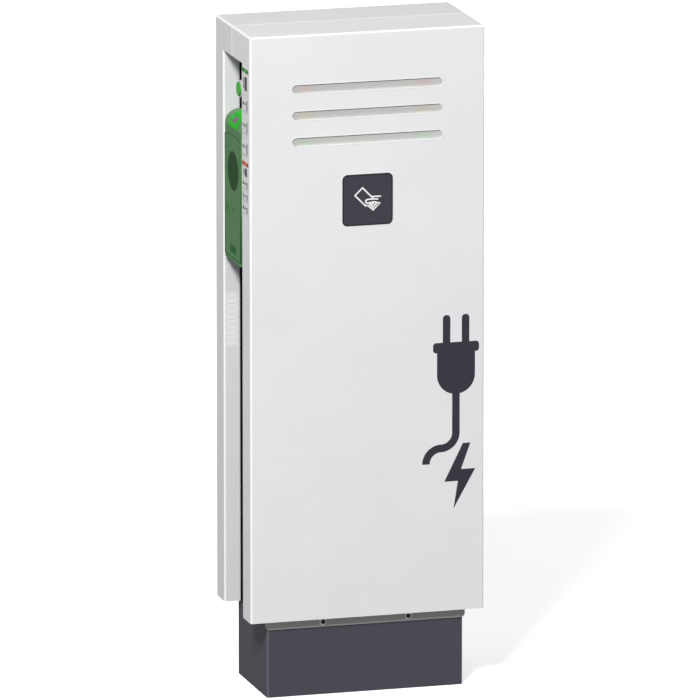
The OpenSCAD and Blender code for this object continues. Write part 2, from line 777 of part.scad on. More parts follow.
// Pale ring round a button, standing on the recess's floor
module button_bezel(s) {
    color("#c8cac8") on_side(s) translate([floor_x, recess_mid, button_z]) rotate([0, 90, 0])
        rotate_extrude() difference() {
            union() {
                translate([button_r + 0.4, 0]) square([bezel_r - button_r - 0.4, bezel_out - 1]);
                translate([button_r + 0.4, 0]) square([bezel_r - button_r - 1.4, bezel_out]);
                translate([bezel_r - 1, bezel_out - 1]) circle(1);
                translate([button_r + 0.4, 0]) square([bezel_r - button_r + 1.6, 3]);
            }
            translate([0, -5]) square([button_r + 0.4, 50]);
        }
}

// Contact block behind each button
module button_switches() {
    color("#dfe2e0") for (s = [-1, 1]) on_side(s) difference() {
        union() {
            block([panel_x - 36, recess_mid - 15, button_z - 15], [panel_x, recess_mid + 15, button_z + 15]);
            for (z = [-1, 1])
                rod_back(panel_x - 22, button_z + z * 9, 2.5, recess_mid - 17, recess_mid);
        }
        rod_out(recess_mid, button_z, stem_r + pin_play, -sheet_t - 20, -sheet_t + 1);
    }
}

// Dark window in front of the card reader, flush with the cover
module reader_window() {
    flange = 5;
    color("#46474f") translate([0, 0, reader_z]) {
        upright(-hd, sheet_t) round_rect(reader_w, reader_w, reader_r);
        upright(-hd + sheet_t, 2)
            round_rect(reader_w + 2 * flange, reader_w + 2 * flange, reader_r);
    }
}

module reader_module() {
    y = -hd + sheet_t + 2;
    color("#2e6b4a") {
        block([-44, y, reader_z - 44], [44, y + 3, reader_z + 44]);
        block([-30, y + 3, reader_z - 30], [30, y + 18, reader_z + 30]);
        block([34, y + 3, reader_z - 12], [42, y + 12, reader_z + 12]);
    }
}

// Grey light box behind the slots
module light_window() {
    mid = slot_z[1];
    color("#c8c8c8") translate([0, 0, mid]) difference() {
        upright(-hd + sheet_t, window_depth - sheet_t + light_t) square([light_w, light_h], center = true);
        upright(-hd + sheet_t - 1, window_depth - sheet_t + 1)
            square([light_w - 2 * light_t, light_h - 2 * light_t], center = true);
    }
}

// Board with one light at each end of each slot
module led_board() {
    y = light_y + light_t;
    color("#1d5b3a") {
        block([-led_x - 25, y + 3, slot_z[2] - 18], [led_x + 25, y + 4.6, slot_z[0] + 18]);
        for (x = [-led_x, led_x], z = slot_z) rod_back(x, z, 6, y, y + 3);
        for (x = [-60, 0, 60]) block([x - 10, y + 4.6, slot_z[1] - 8], [x + 10, y + 9, slot_z[1] + 8]);
    }
}

// Thin vinyl strips on the cover's side faces beside the recesses
module side_labels() {
    color("#f2f2f2")
        for (s = [-1, 1]) on_side(s)
            block([hw, label_y[0], label_z[0]], [hw + vinyl_t, label_y[1], label_z[1]]);
}

// Vinyl plug with its lead and a spark, down the front's lower right side
module front_graphic() {
    band = 15;
    bend = 30;
    color("#4a4b55") translate([graphic_x, 0, graphic_z]) upright(-hd - vinyl_t, vinyl_t) {
        // plug: two prongs, collar and body
        for (x = [-1, 1])
            translate([x * 19, 350]) round_rect(15, 64, 7);
        translate([0, 318]) round_rect(graphic_w, 20, 6);
        translate([0, 287]) round_rect(76, 52, 8);
        translate([0, 264]) circle(38);
        // lead: straight down, then a bend to the left and one down again
        translate([-band / 2, 150]) square([band, 90]);
        translate([-bend, 150]) ring_quarter(bend, band, -90);
        translate([-bend, 150 - 2 * bend]) ring_quarter(bend, band, 90);
        translate([8, 0]) spark(62, 128);
    }
}

// Quarter of a ring about the origin, from the angle turn on
module ring_quarter(r, band, turn) {
    intersection() {
        difference() {
            circle(r + band / 2);
            circle(r - band / 2);
        }
        rotate(turn) square(2 * r);
    }
}

// Spark of the graphic, standing on y = 0
module spark(w, h) {
    polygon([[0.1 * w, h], [-0.5 * w, 0.42 * h], [-0.06 * w, 0.42 * h],
        [-0.2 * w, 0], [0.5 * w, 0.6 * h], [0.04 * w, 0.6 * h], [0.34 * w, h]]);
}

// Three hat section rails on the mounting plate
module din_rails() {
    color("#d3d6d9")
        for (z = din_z) translate([0, 0, z]) {
            for (side = [-1, 1])
                block([-150, din_front, side < 0 ? -17.5 : 12.5],
                    [150, din_front + 1, side < 0 ? -12.5 : 17.5]);
            for (side = [-1, 1])
                block([-150, din_front, side * 12.5 - 0.5], [150, plate_front, side * 12.5 + 0.5]);
            block([-150, plate_front - 1, -12.5], [150, plate_front, 12.5]);
        }
}

// Body of a DIN rail device, n modules wide, with the stepped front of such devices
module din_body(x, z, n, h, nose_h) {
    w = n * module_w;
    block([x - w / 2, din_front - module_d + 16, z - h / 2], [x + w / 2, din_front, z + h / 2]);
    block([x - w / 2, din_front - module_d, z - nose_h / 2], [x + w / 2, din_front, z + nose_h / 2]);
}

// Two four pole breakers, one for each outlet
module breakers() {
    y = din_front - module_d;
    color("#e9eaec") difference() {
        for (x = [-1, 1]) din_body(x * breaker_x, breaker_z, 4, breaker_h, 45);
        for (x = [-1, 1]) {
            translate([x * breaker_x - 1.5 * module_w, y + 4, breaker_z]) rotate([0, 90, 0])
                cylinder(h = 3 * module_w, r = toggle_r + 0.3);
            block([x * breaker_x - 1.5 * module_w, y - 1, breaker_z - toggle_r - 1],
                [x * breaker_x + 1.5 * module_w, y + 4, breaker_z + toggle_r + 1]);
            for (i = [-1.5:1.5], z = [-1, 1])
                translate([x * breaker_x + i * module_w, y + 26, breaker_z + z * 36])
                    rotate([90, 0, 0]) cylinder(h = 11, r = 3.2);
            for (i = [-1.5:1.5], z = [-1, 1])
                block([x * breaker_x + i * module_w - 4, y + 22, breaker_z + z * (breaker_h / 2 - 4) - 5],
                    [x * breaker_x + i * module_w + 4, y + 34, breaker_z + z * (breaker_h / 2 - 4) + 5]);
        }
    }
}

// Rocker of a breaker, linked over its poles
module breaker_toggle(s) {
    y = din_front - module_d;
    l = 3 * module_w - 1;
    color("#2f5f9e") translate([s * breaker_x, y + 4, breaker_z]) {
        translate([-l / 2, 0, 0]) rotate([0, 90, 0]) cylinder(h = l, r = toggle_r);
        rotate([-38, 0, 0]) block([-l / 2 + 6, -16, -2], [l / 2 - 6, 0, 2]);
    }
}

// Two contactors that switch the outlets
module contactors() {
    color("#d8d9d6") for (x = [-1, 1]) difference() {
        union() {
            din_body(x * breaker_x, contactor_z, 3, contactor_h, 58);
            block([x * breaker_x - 16, din_front - module_d - 6, contactor_z - 16],
                [x * breaker_x + 16, din_front - module_d, contactor_z + 16]);
        }
        for (i = [-1:1], z = [-1, 1])
            translate([x * breaker_x + i * module_w, din_front - module_d + 26, contactor_z + z * 36])
                rotate([90, 0, 0]) cylinder(h = 11, r = 3.2);
    }
}

// Two energy meters beside the breakers' row
module meters() {
    color("#cfd3d6") for (x = [-1, 1]) difference() {
        din_body(x * meter_x, contactor_z, 2, contactor_h, 45);
        block([x * meter_x - 13, din_front - module_d - 1, contactor_z + 2],
            [x * meter_x + 13, din_front - module_d + 1.5, contactor_z + 16]);
    }
}

module power_supply() {
    color("#55585c") difference() {
        din_body(0, contactor_z, 3, contactor_h + 4, 60);
        for (i = [-3:3])
            block([i * 6 - 1.5, din_front - module_d + 20, contactor_z + 38],
                [i * 6 + 1.5, din_front - 8, contactor_z + 46]);
    }
}

// Row of screw terminals for the supply cable
module terminal_block() {
    w = 12;
    color("#8f9499")
        for (i = [-4:4]) difference() {
            block([i * (w + 0.2) - w / 2, din_front - 44, terminal_z - 26],
                [i * (w + 0.2) + w / 2 + (i < 4 ? 0.2 : 0), din_front, terminal_z + 26]);
            for (z = [-1, 1])
                translate([i * (w + 0.2), din_front - 34, terminal_z + z * 14]) rotate([90, 0, 0])
                    cylinder(h = 12, r = 3.4);
            for (z = [-1, 1])
                block([i * (w + 0.2) - 4, din_front - 30, terminal_z + z * 24 - 5],
                    [i * (w + 0.2) + 4, din_front - 18, terminal_z + z * 24 + 5]);
        }
}

// Controller's circuit board on four posts
module controller_board() {
    z0 = contactor_z + 120;
    h = 130;
    y = plate_front - 12;
    color("#1f5f3c") {
        block([-110, y - 1.6, z0], [110, y, z0 + h]);
        for (x = [-1, 1], z = [8, h - 8]) rod_back(x * 100, z0 + z, 4, y - 1, plate_front);
        block([-20, y - 5, z0 + 45], [20, y - 1, z0 + 85]);
        block([40, y - 12, z0 + 10], [100, y - 1, z0 + 26]);
        block([-100, y - 12, z0 + 10], [-40, y - 1, z0 + 26]);
        block([40, y - 15, z0 + 88], [72, y - 1, z0 + 120]);
        for (i = [0:2]) rod_back(-50 - i * 18, z0 + 100, 6, y - 20, y - 1);
        block([-90, y - 4, z0 + 50], [-60, y - 1, z0 + 70]);
    }
}

// Three cable glands through the tray
module cable_glands() {
    color("#2a2b2e")
        for (x = gland_x) translate([x, gland_y, 0]) difference() {
            union() {
                translate([0, 0, tray_z - 14]) cylinder(h = tray_t + 26, r = gland_r);
                translate([0, 0, skirt_z]) cylinder(h = 8, r = gland_r + 7, $fn = 6);
                translate([0, 0, tray_z - 7]) cylinder(h = 7, r = gland_r + 7, $fn = 6);
                translate([0, 0, skirt_z + 12]) cylinder(h = 12, r = gland_r - 2);
            }
            translate([0, 0, tray_z - 15]) cylinder(h = tray_t + 60, r = cable_r + 0.1);
        }
}

// Tube of radius r along a list of points, with a ring of n points at each
module tube(points, r, n) {
    last = len(points) - 1;
    rings = [
        for (i = [0:last])
            let (d = unit(at(points, i + 1) - at(points, i - 1)),
                side = unit(cross(d, abs(d[1]) > 0.9 ? [1, 0, 0] : [0, 1, 0])), up = cross(side, d))
                for (j = [0:n - 1]) points[i] + r * (cos(360 * j / n) * side + sin(360 * j / n) * up)
    ];
    polyhedron(rings, concat(
        [[for (j = [0:n - 1]) j]],
        [for (i = [0:last - 1], j = [0:n - 1])
            [i * n + j, (i + 1) * n + j, (i + 1) * n + (j + 1) % n, i * n + (j + 1) % n]],
        [[for (j = [n - 1:-1:0]) last * n + j]]), convexity = 8);
}

// Cables between the devices: terminals to breakers, breakers to contactors, contactors to outlets
module harness() {
    y = din_front - 26;
    end_x = floor_x - socket_l - 10 - cable_gap;
    feed = [
        [30, y, terminal_z + 26 + cable_gap], [30, y, terminal_z + 70], [36, y, terminal_z + 120],
        [breaker_x - 2, y, breaker_z - 110], [breaker_x, y, breaker_z - 75],
        [breaker_x, y, breaker_z - breaker_h / 2 - cable_gap]
    ];
    link = [
        [breaker_x, y, breaker_z + breaker_h / 2 + cable_gap], [breaker_x, y, breaker_z + 60],
        [breaker_x, y - 6, (breaker_z + contactor_z) / 2], [breaker_x, y, contactor_z - 60],
        [breaker_x, y, contactor_z - contactor_h / 2 - cable_gap]
    ];
    outlet = [
        [breaker_x, y, contactor_z + contactor_h / 2 + cable_gap],
        [breaker_x, y, contactor_z + contactor_h / 2 + 9], [breaker_x, y, contactor_z + 62],
        [breaker_x + 4, 30, contactor_z + 86], [breaker_x + 14, 12, contactor_z + 112],
        [end_x - 30, recess_mid, socket_z - 4], [end_x - 12, recess_mid, socket_z],
        [end_x, recess_mid, socket_z]
    ];
    color("#e07020")
        for (s = [-1, 1], route = [feed, link, outlet]) on_side(s) tube(curve(route, 3), cable_r, 12);
}

plinth();
bottom_tray();
tray_bolts();
lower_rail();
rear_shell();
front_cover();
cover_hooks();
cover_seal();
cover_screws();
side_panel(-1);  // side_panel_left
side_panel(1);  // side_panel_right
mounting_plate();
plate_screws();
flap(-1);  // flap_left
flap(1);  // flap_right
flap_arm(-1);  // flap_arm_left
flap_arm(1);  // flap_arm_right
flap_insert(-1);  // flap_insert_left
flap_insert(1);  // flap_insert_right
flap_disc(-1);  // flap_disc_left
flap_disc(1);  // flap_disc_right
flap_grip(-1);  // flap_grip_left
flap_grip(1);  // flap_grip_right
flap_lock(-1);  // flap_lock_left
flap_lock(1);  // flap_lock_right
hinge_bracket(-1);  // hinge_bracket_left
hinge_bracket(1);  // hinge_bracket_right
hinge_pins();
socket(-1);  // socket_left
socket(1);  // socket_right
socket_core(-1);  // socket_core_left
socket_core(1);  // socket_core_right
contacts(-1);  // contacts_left
contacts(1);  // contacts_right
lock_actuator(-1);  // lock_actuator_left
lock_actuator(1);  // lock_actuator_right
lock_pin(-1);  // lock_pin_left
lock_pin(1);  // lock_pin_right
button(-1);  // button_left
button(1);  // button_right
button_bezel(-1);  // button_bezel_left
button_bezel(1);  // button_bezel_right
button_switches();
reader_window();
reader_module();
light_window();
led_board();
side_labels();
front_graphic();
din_rails();
breakers();
breaker_toggle(-1);  // breaker_toggle_left
breaker_toggle(1);  // breaker_toggle_right
contactors();
meters();
power_supply();
terminal_block();
controller_board();
cable_glands();
harness();
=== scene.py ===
import json
import math

import bmesh
import bpy
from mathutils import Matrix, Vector


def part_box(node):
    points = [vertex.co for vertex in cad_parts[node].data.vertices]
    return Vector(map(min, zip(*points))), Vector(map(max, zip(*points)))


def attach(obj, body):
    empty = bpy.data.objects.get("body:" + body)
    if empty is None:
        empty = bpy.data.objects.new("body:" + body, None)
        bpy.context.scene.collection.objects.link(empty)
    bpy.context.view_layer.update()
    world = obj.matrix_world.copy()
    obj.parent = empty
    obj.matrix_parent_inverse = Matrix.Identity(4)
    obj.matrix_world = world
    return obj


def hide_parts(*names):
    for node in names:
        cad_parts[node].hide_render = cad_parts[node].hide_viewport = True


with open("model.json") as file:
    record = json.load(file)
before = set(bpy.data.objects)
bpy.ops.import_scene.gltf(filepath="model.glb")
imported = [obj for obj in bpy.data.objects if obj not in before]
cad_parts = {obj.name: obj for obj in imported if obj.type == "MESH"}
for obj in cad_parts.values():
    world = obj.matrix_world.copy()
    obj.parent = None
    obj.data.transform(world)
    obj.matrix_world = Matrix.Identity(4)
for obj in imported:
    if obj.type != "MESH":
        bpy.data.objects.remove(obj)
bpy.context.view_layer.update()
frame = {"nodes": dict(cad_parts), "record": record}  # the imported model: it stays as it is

mm = 0.001
sides = {"left": -1, "right": 1}
print("frame loaded:", len(frame["nodes"]), "CAD nodes")


def linear(code):
    # sRGB hex to the linear colour that shaders and lights take
    parts = [int(code[i:i + 2], 16) / 255 for i in (1, 3, 5)]
    return [p / 12.92 if p <= 0.04045 else ((p + 0.055) / 1.055) ** 2.4 for p in parts] + [1.0]


def addNode(owner, kind, settings=None, links=None):
    # one node, with its settings (sockets or properties) and what is linked into it
    tree = owner.node_tree
    node = tree.nodes.new("ShaderNode" + kind)
    for key, value in (settings or {}).items():
        if key == "ramp":
            stops = node.color_ramp.elements
            while len(stops) < len(value):
                stops.new(0.5)
            for stop, (place, shade) in zip(stops, value):
                stop.position = place
                stop.color = linear(shade) if isinstance(shade, str) else [shade] * 3 + [1.0]
        elif isinstance(key, int) or key in node.inputs:
            node.inputs[key].default_value = value
        else:
            setattr(node, key, value)
    for key, source in (links or {}).items():
        tree.links.new(source, node.inputs[key])
    return node


def newSurface(name, colour, roughness, **sockets):
    # a material, its shader with the shader's own sockets set, and the coordinates its patterns use
    material = bpy.data.materials.new(name)
    material.use_nodes = True
    shader = material.node_tree.nodes["Principled BSDF"]
    shader.inputs["Base Color"].default_value = linear(colour)
    shader.inputs["Roughness"].default_value = roughness
    for key, value in sockets.items():
        shader.inputs[key.replace("_", " ")].default_value = value
    place = addNode(material, "TexCoord")
    return material, shader, place


def addGrain(material, shader, place, size, depth, shades=None, rough=None, stretch=(1, 1, 1), below=None):
    # one noise of a real size in mm drives colour, roughness and relief together
    tree = material.node_tree
    scaled = addNode(material, "Mapping", {"Scale": stretch}, {"Vector": place.outputs["Object"]})
    noise = addNode(material, "TexNoise", {"Scale": 1 / (size * mm), "Detail": 3.0, "Roughness": 0.55},
                    {"Vector": scaled.outputs["Vector"]})
    if shades:
        ramp = addNode(material, "ValToRGB", {"ramp": [(0.3, shades[0]), (0.7, shades[1])]},
                       {"Fac": noise.outputs["Fac"]})
        tree.links.new(ramp.outputs["Color"], shader.inputs["Base Color"])
    if rough:
        spread = addNode(material, "MapRange", {"From Min": 0.3, "From Max": 0.7, "To Min": rough[0],
                                                "To Max": rough[1]}, {"Value": noise.outputs["Fac"]})
        tree.links.new(spread.outputs["Result"], shader.inputs["Roughness"])
    links = {"Height": noise.outputs["Fac"]}
    if below:
        links["Normal"] = below.outputs["Normal"]
    bump = addNode(material, "Bump", {"Strength": 0.6, "Distance": depth * mm}, links)
    tree.links.new(bump.outputs["Normal"], shader.inputs["Normal"])
    return bump


# metals and coatings

powderCoats = {
    # colour, its slightly lighter cloud, the colour of the painted highlight over a bend and along the
    # seam's cut edges, roughness
    "cover_paint": {"dark": "#eeeef0", "light": "#f1f1f2", "bend": "#ffffff", "rough": (0.40, 0.50)},
    "shell_paint": {"dark": "#e9e9eb", "light": "#ececee", "bend": "#ffffff", "rough": (0.40, 0.50)},
    "plinth_paint": {"dark": "#474752", "light": "#494954", "bend": "#5e5e66", "rough": (0.50, 0.60)},
    "black_paint": {"dark": "#0c0c0e", "light": "#0f0f11", "bend": "#161618", "rough": (0.55, 0.65)},
    "rail_paint": {"dark": "#a9a9a8", "light": "#adadac", "bend": "#d0d0d0", "rough": (0.45, 0.55)},
    "supply_case": {"dark": "#4a4d51", "light": "#505357", "bend": "#6a6d70", "rough": (0.45, 0.55)},
}
coating = {
    "cloud": 160,      # mm, width of the barely visible clouds in the colour
    "peel": 3.0,       # mm, orange peel; really under 1 mm, drawn coarser so that it shows
    "peelDepth": 0.012,
    "seam": 4.0,       # mm, where cover and rear shell meet, behind the middle
    "seamHighlightWidth": 3.6,   # mm, how far the painted highlight reaches from the cut edges there
}


def powderCoat(name):
    # polyester powder coat on folded steel: satin, with a faint orange peel, and a painted highlight over
    # bends
    coat = powderCoats[name]
    material, shader, place = newSurface(name, coat["dark"], coat["rough"][0], IOR=1.5)
    tree = material.node_tree
    cloud = addNode(material, "TexNoise", {"Scale": 1 / (coating["cloud"] * mm), "Detail": 3.0},
                    {"Vector": place.outputs["Object"]})
    tone = addNode(material, "ValToRGB", {"ramp": [(0.35, coat["dark"]), (0.65, coat["light"])]},
                   {"Fac": cloud.outputs["Fac"]})
    # painted highlight: a bend is where the normal, in the piece's own axes, leans between two of them
    lean = addNode(material, "VectorMath", {"operation": "ABSOLUTE"}, {0: place.outputs["Normal"]})
    axis = addNode(material, "SeparateXYZ", links={"Vector": lean.outputs["Vector"]})
    across = addNode(material, "Math", {"operation": "MAXIMUM"},
                     {0: axis.outputs["X"], 1: axis.outputs["Y"]})
    most = addNode(material, "Math", {"operation": "MAXIMUM"},
                   {0: across.outputs[0], 1: axis.outputs["Z"]})
    bend = addNode(material, "MapRange", {"interpolation_type": "SMOOTHSTEP", "From Min": 0.99,
                                          "From Max": 0.93, "To Min": 0.0, "To Max": 1.0},
                   {"Value": most.outputs[0]})
    paintedHighlight = bend.outputs["Result"]
    if name in ("cover_paint", "shell_paint"):
        # painted highlight along the cut edges at the seam, as bright as over a bend
        depth = addNode(material, "SeparateXYZ", links={"Vector": place.outputs["Object"]})
        away = addNode(material, "Math", {"operation": "SUBTRACT", 1: coating["seam"] * mm},
                       {0: depth.outputs["Y"]})
        near = addNode(material, "Math", {"operation": "ABSOLUTE"}, {0: away.outputs[0]})
        seamHighlight = addNode(material, "MapRange", {"interpolation_type": "SMOOTHSTEP",
                                              "From Min": coating["seamHighlightWidth"] * mm,
                                              "From Max": coating["seamHighlightWidth"] * mm * 0.7},
                       {"Value": near.outputs[0]})
        both = addNode(material, "Math", {"operation": "MAXIMUM"}, {0: paintedHighlight, 1: seamHighlight.outputs["Result"]})
        paintedHighlight = both.outputs[0]
    # the painted highlight mixes the bright bend colour over the cloudy tone
    painted = addNode(material, "Mix", {"data_type": "RGBA", 7: linear(coat["bend"])},
                      {0: paintedHighlight, 6: tone.outputs["Color"]})
    tree.links.new(painted.outputs[2], shader.inputs["Base Color"])
    addGrain(material, shader, place, size=coating["peel"], depth=coating["peelDepth"], rough=coat["rough"])
    return material


def zincPlated(name, colour="#b9bdc1", dark="#8f9499", rough=(0.22, 0.42)):
    # bright zinc plate on turned or pressed steel: a cloudy, slightly blue mirror
    material, shader, place = newSurface(name, colour, rough[0], Metallic=1.0)
    addGrain(material, shader, place, size=2.2, depth=0.01, shades=(dark, colour), rough=rough,
             stretch=(1, 1, 3))
    return material


def galvanisedSheet(name):
    # hot dip galvanised sheet: flat crystals of zinc, each reflecting a little differently
    material, shader, place = newSurface(name, "#b4b8bc", 0.4, Metallic=1.0)
    tree = material.node_tree
    spangle = addNode(material, "TexVoronoi", {"Scale": 1 / (9 * mm)}, {"Vector": place.outputs["Object"]})
    grey = addNode(material, "ValToRGB", {"ramp": [(0.0, "#969ba0"), (1.0, "#c2c6ca")]},
                   {"Fac": spangle.outputs["Color"]})
    tree.links.new(grey.outputs["Color"], shader.inputs["Base Color"])
    addGrain(material, shader, place, size=1.5, depth=0.01, rough=(0.3, 0.5))
    return material


def silverPlated(name):
    # silver plated copper alloy: warm white metal with fine turning marks
    material, shader, place = newSurface(name, "#d8cfae", 0.25, Metallic=1.0)
    addGrain(material, shader, place, size=1.2, depth=0.01, shades=("#b9a878", "#ded7bf"),
             rough=(0.18, 0.34), stretch=(1, 8, 8))
    return material


# plastics

statusGlow = 0.40  # strength of the light that the opal window gives off

mouldings = {
    # colour and lighter tone, size of the spark eroded grain in mm, its depth in mm, roughness, and the
    # strength of the surface's own reflection where it is weaker than usual
    "device_plastic": {"dark": "#d3d5d6", "light": "#dcdedf", "grain": 1.4, "depth": 0.02,
                       "rough": (0.45, 0.6)},
    "meter_plastic": {"dark": "#bfc3c7", "light": "#c9cdd0", "grain": 1.4, "depth": 0.02,
                      "rough": (0.4, 0.55)},
    "terminal_plastic": {"dark": "#7f858a", "light": "#8b9095", "grain": 1.2, "depth": 0.02,
                         "rough": (0.45, 0.6)},
    "gland_plastic": {"dark": "#1d1e20", "light": "#242527", "grain": 1.2, "depth": 0.02,
                      "rough": (0.4, 0.55)},
    "insert_plastic": {"dark": "#6e686e", "light": "#747074", "grain": 1.5, "depth": 0.01,
                       "rough": (0.4, 0.5), "shine": 0.25},
    "disc_plastic": {"dark": "#19481b", "light": "#1b4b1d", "grain": 2.0, "depth": 0.004,
                     "rough": (0.4, 0.5), "shine": 0.12},
    "grip_plastic": {"dark": "#1d651d", "light": "#206920", "grain": 1.6, "depth": 0.01,
                     "rough": (0.4, 0.5), "shine": 0.12},
    "lock_plastic": {"dark": "#3a843a", "light": "#3f8a3e", "grain": 1.8, "depth": 0.01,
                     "rough": (0.4, 0.5), "shine": 0.12},
    "arm_plastic": {"dark": "#0fb40e", "light": "#12bc11", "grain": 2.4, "depth": 0.005,
                    "rough": (0.42, 0.52), "shine": 0.12},
    "rim_plastic": {"dark": "#5c9c5d", "light": "#61a262", "grain": 2.4, "depth": 0.005,
                    "rough": (0.4, 0.5), "shine": 0.12},
    "groove_plastic": {"dark": "#2f5a30", "light": "#335f34", "grain": 2.0, "depth": 0.004,
                       "rough": (0.4, 0.5), "shine": 0.12},
    "outlet_plastic": {"dark": "#141416", "light": "#1a1a1d", "grain": 1.3, "depth": 0.03,
                       "rough": (0.45, 0.6)},
    "core_plastic": {"dark": "#1c1c1f", "light": "#232326", "grain": 1.3, "depth": 0.02,
                     "rough": (0.4, 0.5)},
    "bezel_plastic": {"dark": "#c2c4c2", "light": "#cccecc", "grain": 1.6, "depth": 0.01,
                      "rough": (0.3, 0.4)},
    "toggle_plastic": {"dark": "#1d4f92", "light": "#23589e", "grain": 1.3, "depth": 0.02,
                       "rough": (0.35, 0.5)},
    "chip_plastic": {"dark": "#17181a", "light": "#1e1f21", "grain": 1.2, "depth": 0.01,
                     "rough": (0.45, 0.6)},
    "window_plastic": {"dark": "#3c3c46", "light": "#3d3d47", "grain": 3.0, "depth": 0.001,
                       "rough": (0.3, 0.34)},
    "window_border": {"dark": "#26262c", "light": "#28282e", "grain": 3.0, "depth": 0.001,
                      "rough": (0.3, 0.34)},
}


def moulded(name):
    # injection moulded ABS, polyamide or polycarbonate: even colour, fine eroded grain, soft gloss
    look = mouldings[name]
    material, shader, place = newSurface(name, look["dark"], look["rough"][0], IOR=1.53,
                                         Specular_IOR_Level=look.get("shine", 0.5))
    addGrain(material, shader, place, size=look["grain"], depth=look["depth"],
             shades=(look["dark"], look["light"]), rough=look["rough"])
    return material


def tintedPolycarbonate(name, colour, light, rough):
    # moulded green polycarbonate, translucent: light scatters just under its polished skin and softens
    # the edges; a broad cloud varies the colour, and there is no relief
    material, shader, place = newSurface(name, colour, rough[0], IOR=1.58, Specular_IOR_Level=0.2,
                                         Subsurface_Weight=0.15, Subsurface_Scale=2 * mm)
    addGrain(material, shader, place, size=60.0, depth=0.0, shades=(colour, light), rough=rough)
    return material


def frostedDiffuser(name, colour, light):
    # opal acrylic behind the slots and over the meters' displays: matt, and faintly lit from behind
    material, shader, place = newSurface(name, colour, 0.5, IOR=1.49, Emission_Color=linear(colour),
                                         Emission_Strength=statusGlow)
    addGrain(material, shader, place, size=2.5, depth=0.005, shades=(colour, light), rough=(0.45, 0.6))
    return material


def foamRubber(name):
    # closed cell foam rubber: black, matt, with small pores
    material, shader, place = newSurface(name, "#18181a", 0.9, IOR=1.5)
    addGrain(material, shader, place, size=0.9, depth=0.15, shades=("#101012", "#222225"),
             rough=(0.8, 0.95))
    return material


def cableSheath(name):
    # extruded PVC: orange, half matt, with drawing lines along the cable
    material, shader, place = newSurface(name, "#d9641e", 0.45, IOR=1.52)
    addGrain(material, shader, place, size=1.6, depth=0.03, shades=("#cf5b17", "#e06c25"),
             rough=(0.38, 0.55), stretch=(1, 1, 0.1))
    return material


def printedVinyl(name, colour, light):
    # cast vinyl film: thin, even, with a slight wave from laying it on
    material, shader, place = newSurface(name, colour, 0.35, IOR=1.5, Specular_IOR_Level=0.25)
    wave = addGrain(material, shader, place, size=40, depth=0.02)
    addGrain(material, shader, place, size=1.5, depth=0.004, shades=(colour, light),
             rough=(0.32, 0.42), below=wave)
    return material


def circuitBoard(name):
    # epoxy board under green solder mask: a dark, half glossy ground with paler tracks
    material, shader, place = newSurface(name, "#14502f", 0.35, IOR=1.5)
    tree = material.node_tree
    turned = addNode(material, "Mapping", {"Rotation": (math.pi / 2, 0, 0)},
                     {"Vector": place.outputs["Object"]})
    # tracks about 4 mm apart; really under 1 mm, drawn coarser so that they show
    tracks = addNode(material, "TexBrick", {"Scale": 1 / (24 * mm), "Mortar Size": 0.06, "Brick Width": 0.5,
                                            "Row Height": 0.16, "Color1": linear("#12492b"),
                                            "Color2": linear("#155232"), "Mortar": linear("#2f7a4c")},
                     {"Vector": turned.outputs["Vector"]})
    tree.links.new(tracks.outputs["Color"], shader.inputs["Base Color"])
    relief = addNode(material, "Bump", {"Strength": 0.5, "Distance": 0.04 * mm},
                     {"Height": tracks.outputs["Fac"]})
    addGrain(material, shader, place, size=2.0, depth=0.01, rough=(0.28, 0.4), below=relief)
    return material


finishes = {name: powderCoat(name) for name in powderCoats}
finishes.update({name: moulded(name) for name in mouldings})
finishes.update({
    "zinc_steel": zincPlated("zinc_steel"),
    "screw_steel": zincPlated("screw_steel", "#55565a", "#3a3b3f", (0.35, 0.5)),  # black passivated
    "galvanised_sheet": galvanisedSheet("galvanised_sheet"),
    "contact_plating": silverPlated("contact_plating"),
    "seal_rubber": foamRubber("seal_rubber"),
    "cable_sheath": cableSheath("cable_sheath"),
    "circuit_board": circuitBoard("circuit_board"),
    "diffuser_plastic": frostedDiffuser("diffuser_plastic", "#cdcdcb", "#d1d1cf"),
    "diffuser_green": frostedDiffuser("diffuser_green", "#c7d0c7", "#cad3ca"),
    "diffuser_amber": frostedDiffuser("diffuser_amber", "#d1cdc3", "#d4d0c6"),
    "diffuser_red": frostedDiffuser("diffuser_red", "#d2c7c5", "#d5cbc9"),
    "display_glass": frostedDiffuser("display_glass", "#8f9c86", "#97a48d"),
    "label_vinyl": printedVinyl("label_vinyl", "#ececec", "#f2f2f2"),
    "graphic_vinyl": printedVinyl("graphic_vinyl", "#383842", "#3a3a44"),
    "white_print": printedVinyl("white_print", "#f4f4f4", "#ffffff"),
    "grey_print": printedVinyl("grey_print", "#8a8d90", "#929598"),
    "pale_print": printedVinyl("pale_print", "#d2d4d6", "#d8dadb"),
    "dark_print": printedVinyl("dark_print", "#4a4c50", "#505256"),
    "green_print": printedVinyl("green_print", "#008c12", "#04941a"),
    "orange_print": printedVinyl("orange_print", "#cc4c0e", "#d25415"),
    "hood_plastic": tintedPolycarbonate("hood_plastic", "#4f8350", "#548854", (0.3, 0.36)),
    "lens_plastic": tintedPolycarbonate("lens_plastic", "#30b02c", "#38ba34", (0.22, 0.28)),
})

for row in frame["record"]["subparts"]:
    node = frame["nodes"][row["node"]]
    node.data.materials.clear()
    node.data.materials.append(finishes[row["material_slot"]])
print("finishes on the CAD nodes:", len(finishes))


# drawing on flat faces

def onFront(y):
    # places a drawing in X and Z, in mm, on a face that looks to -Y; out is how far it stands proud
    return lambda a, b, out: Vector((a, y - out, b)) * mm


def onSide(sign, x):
    # places a drawing in Y and Z, in mm, on a face that looks sideways
    return lambda a, b, out: Vector((sign * (x + out), a, b)) * mm


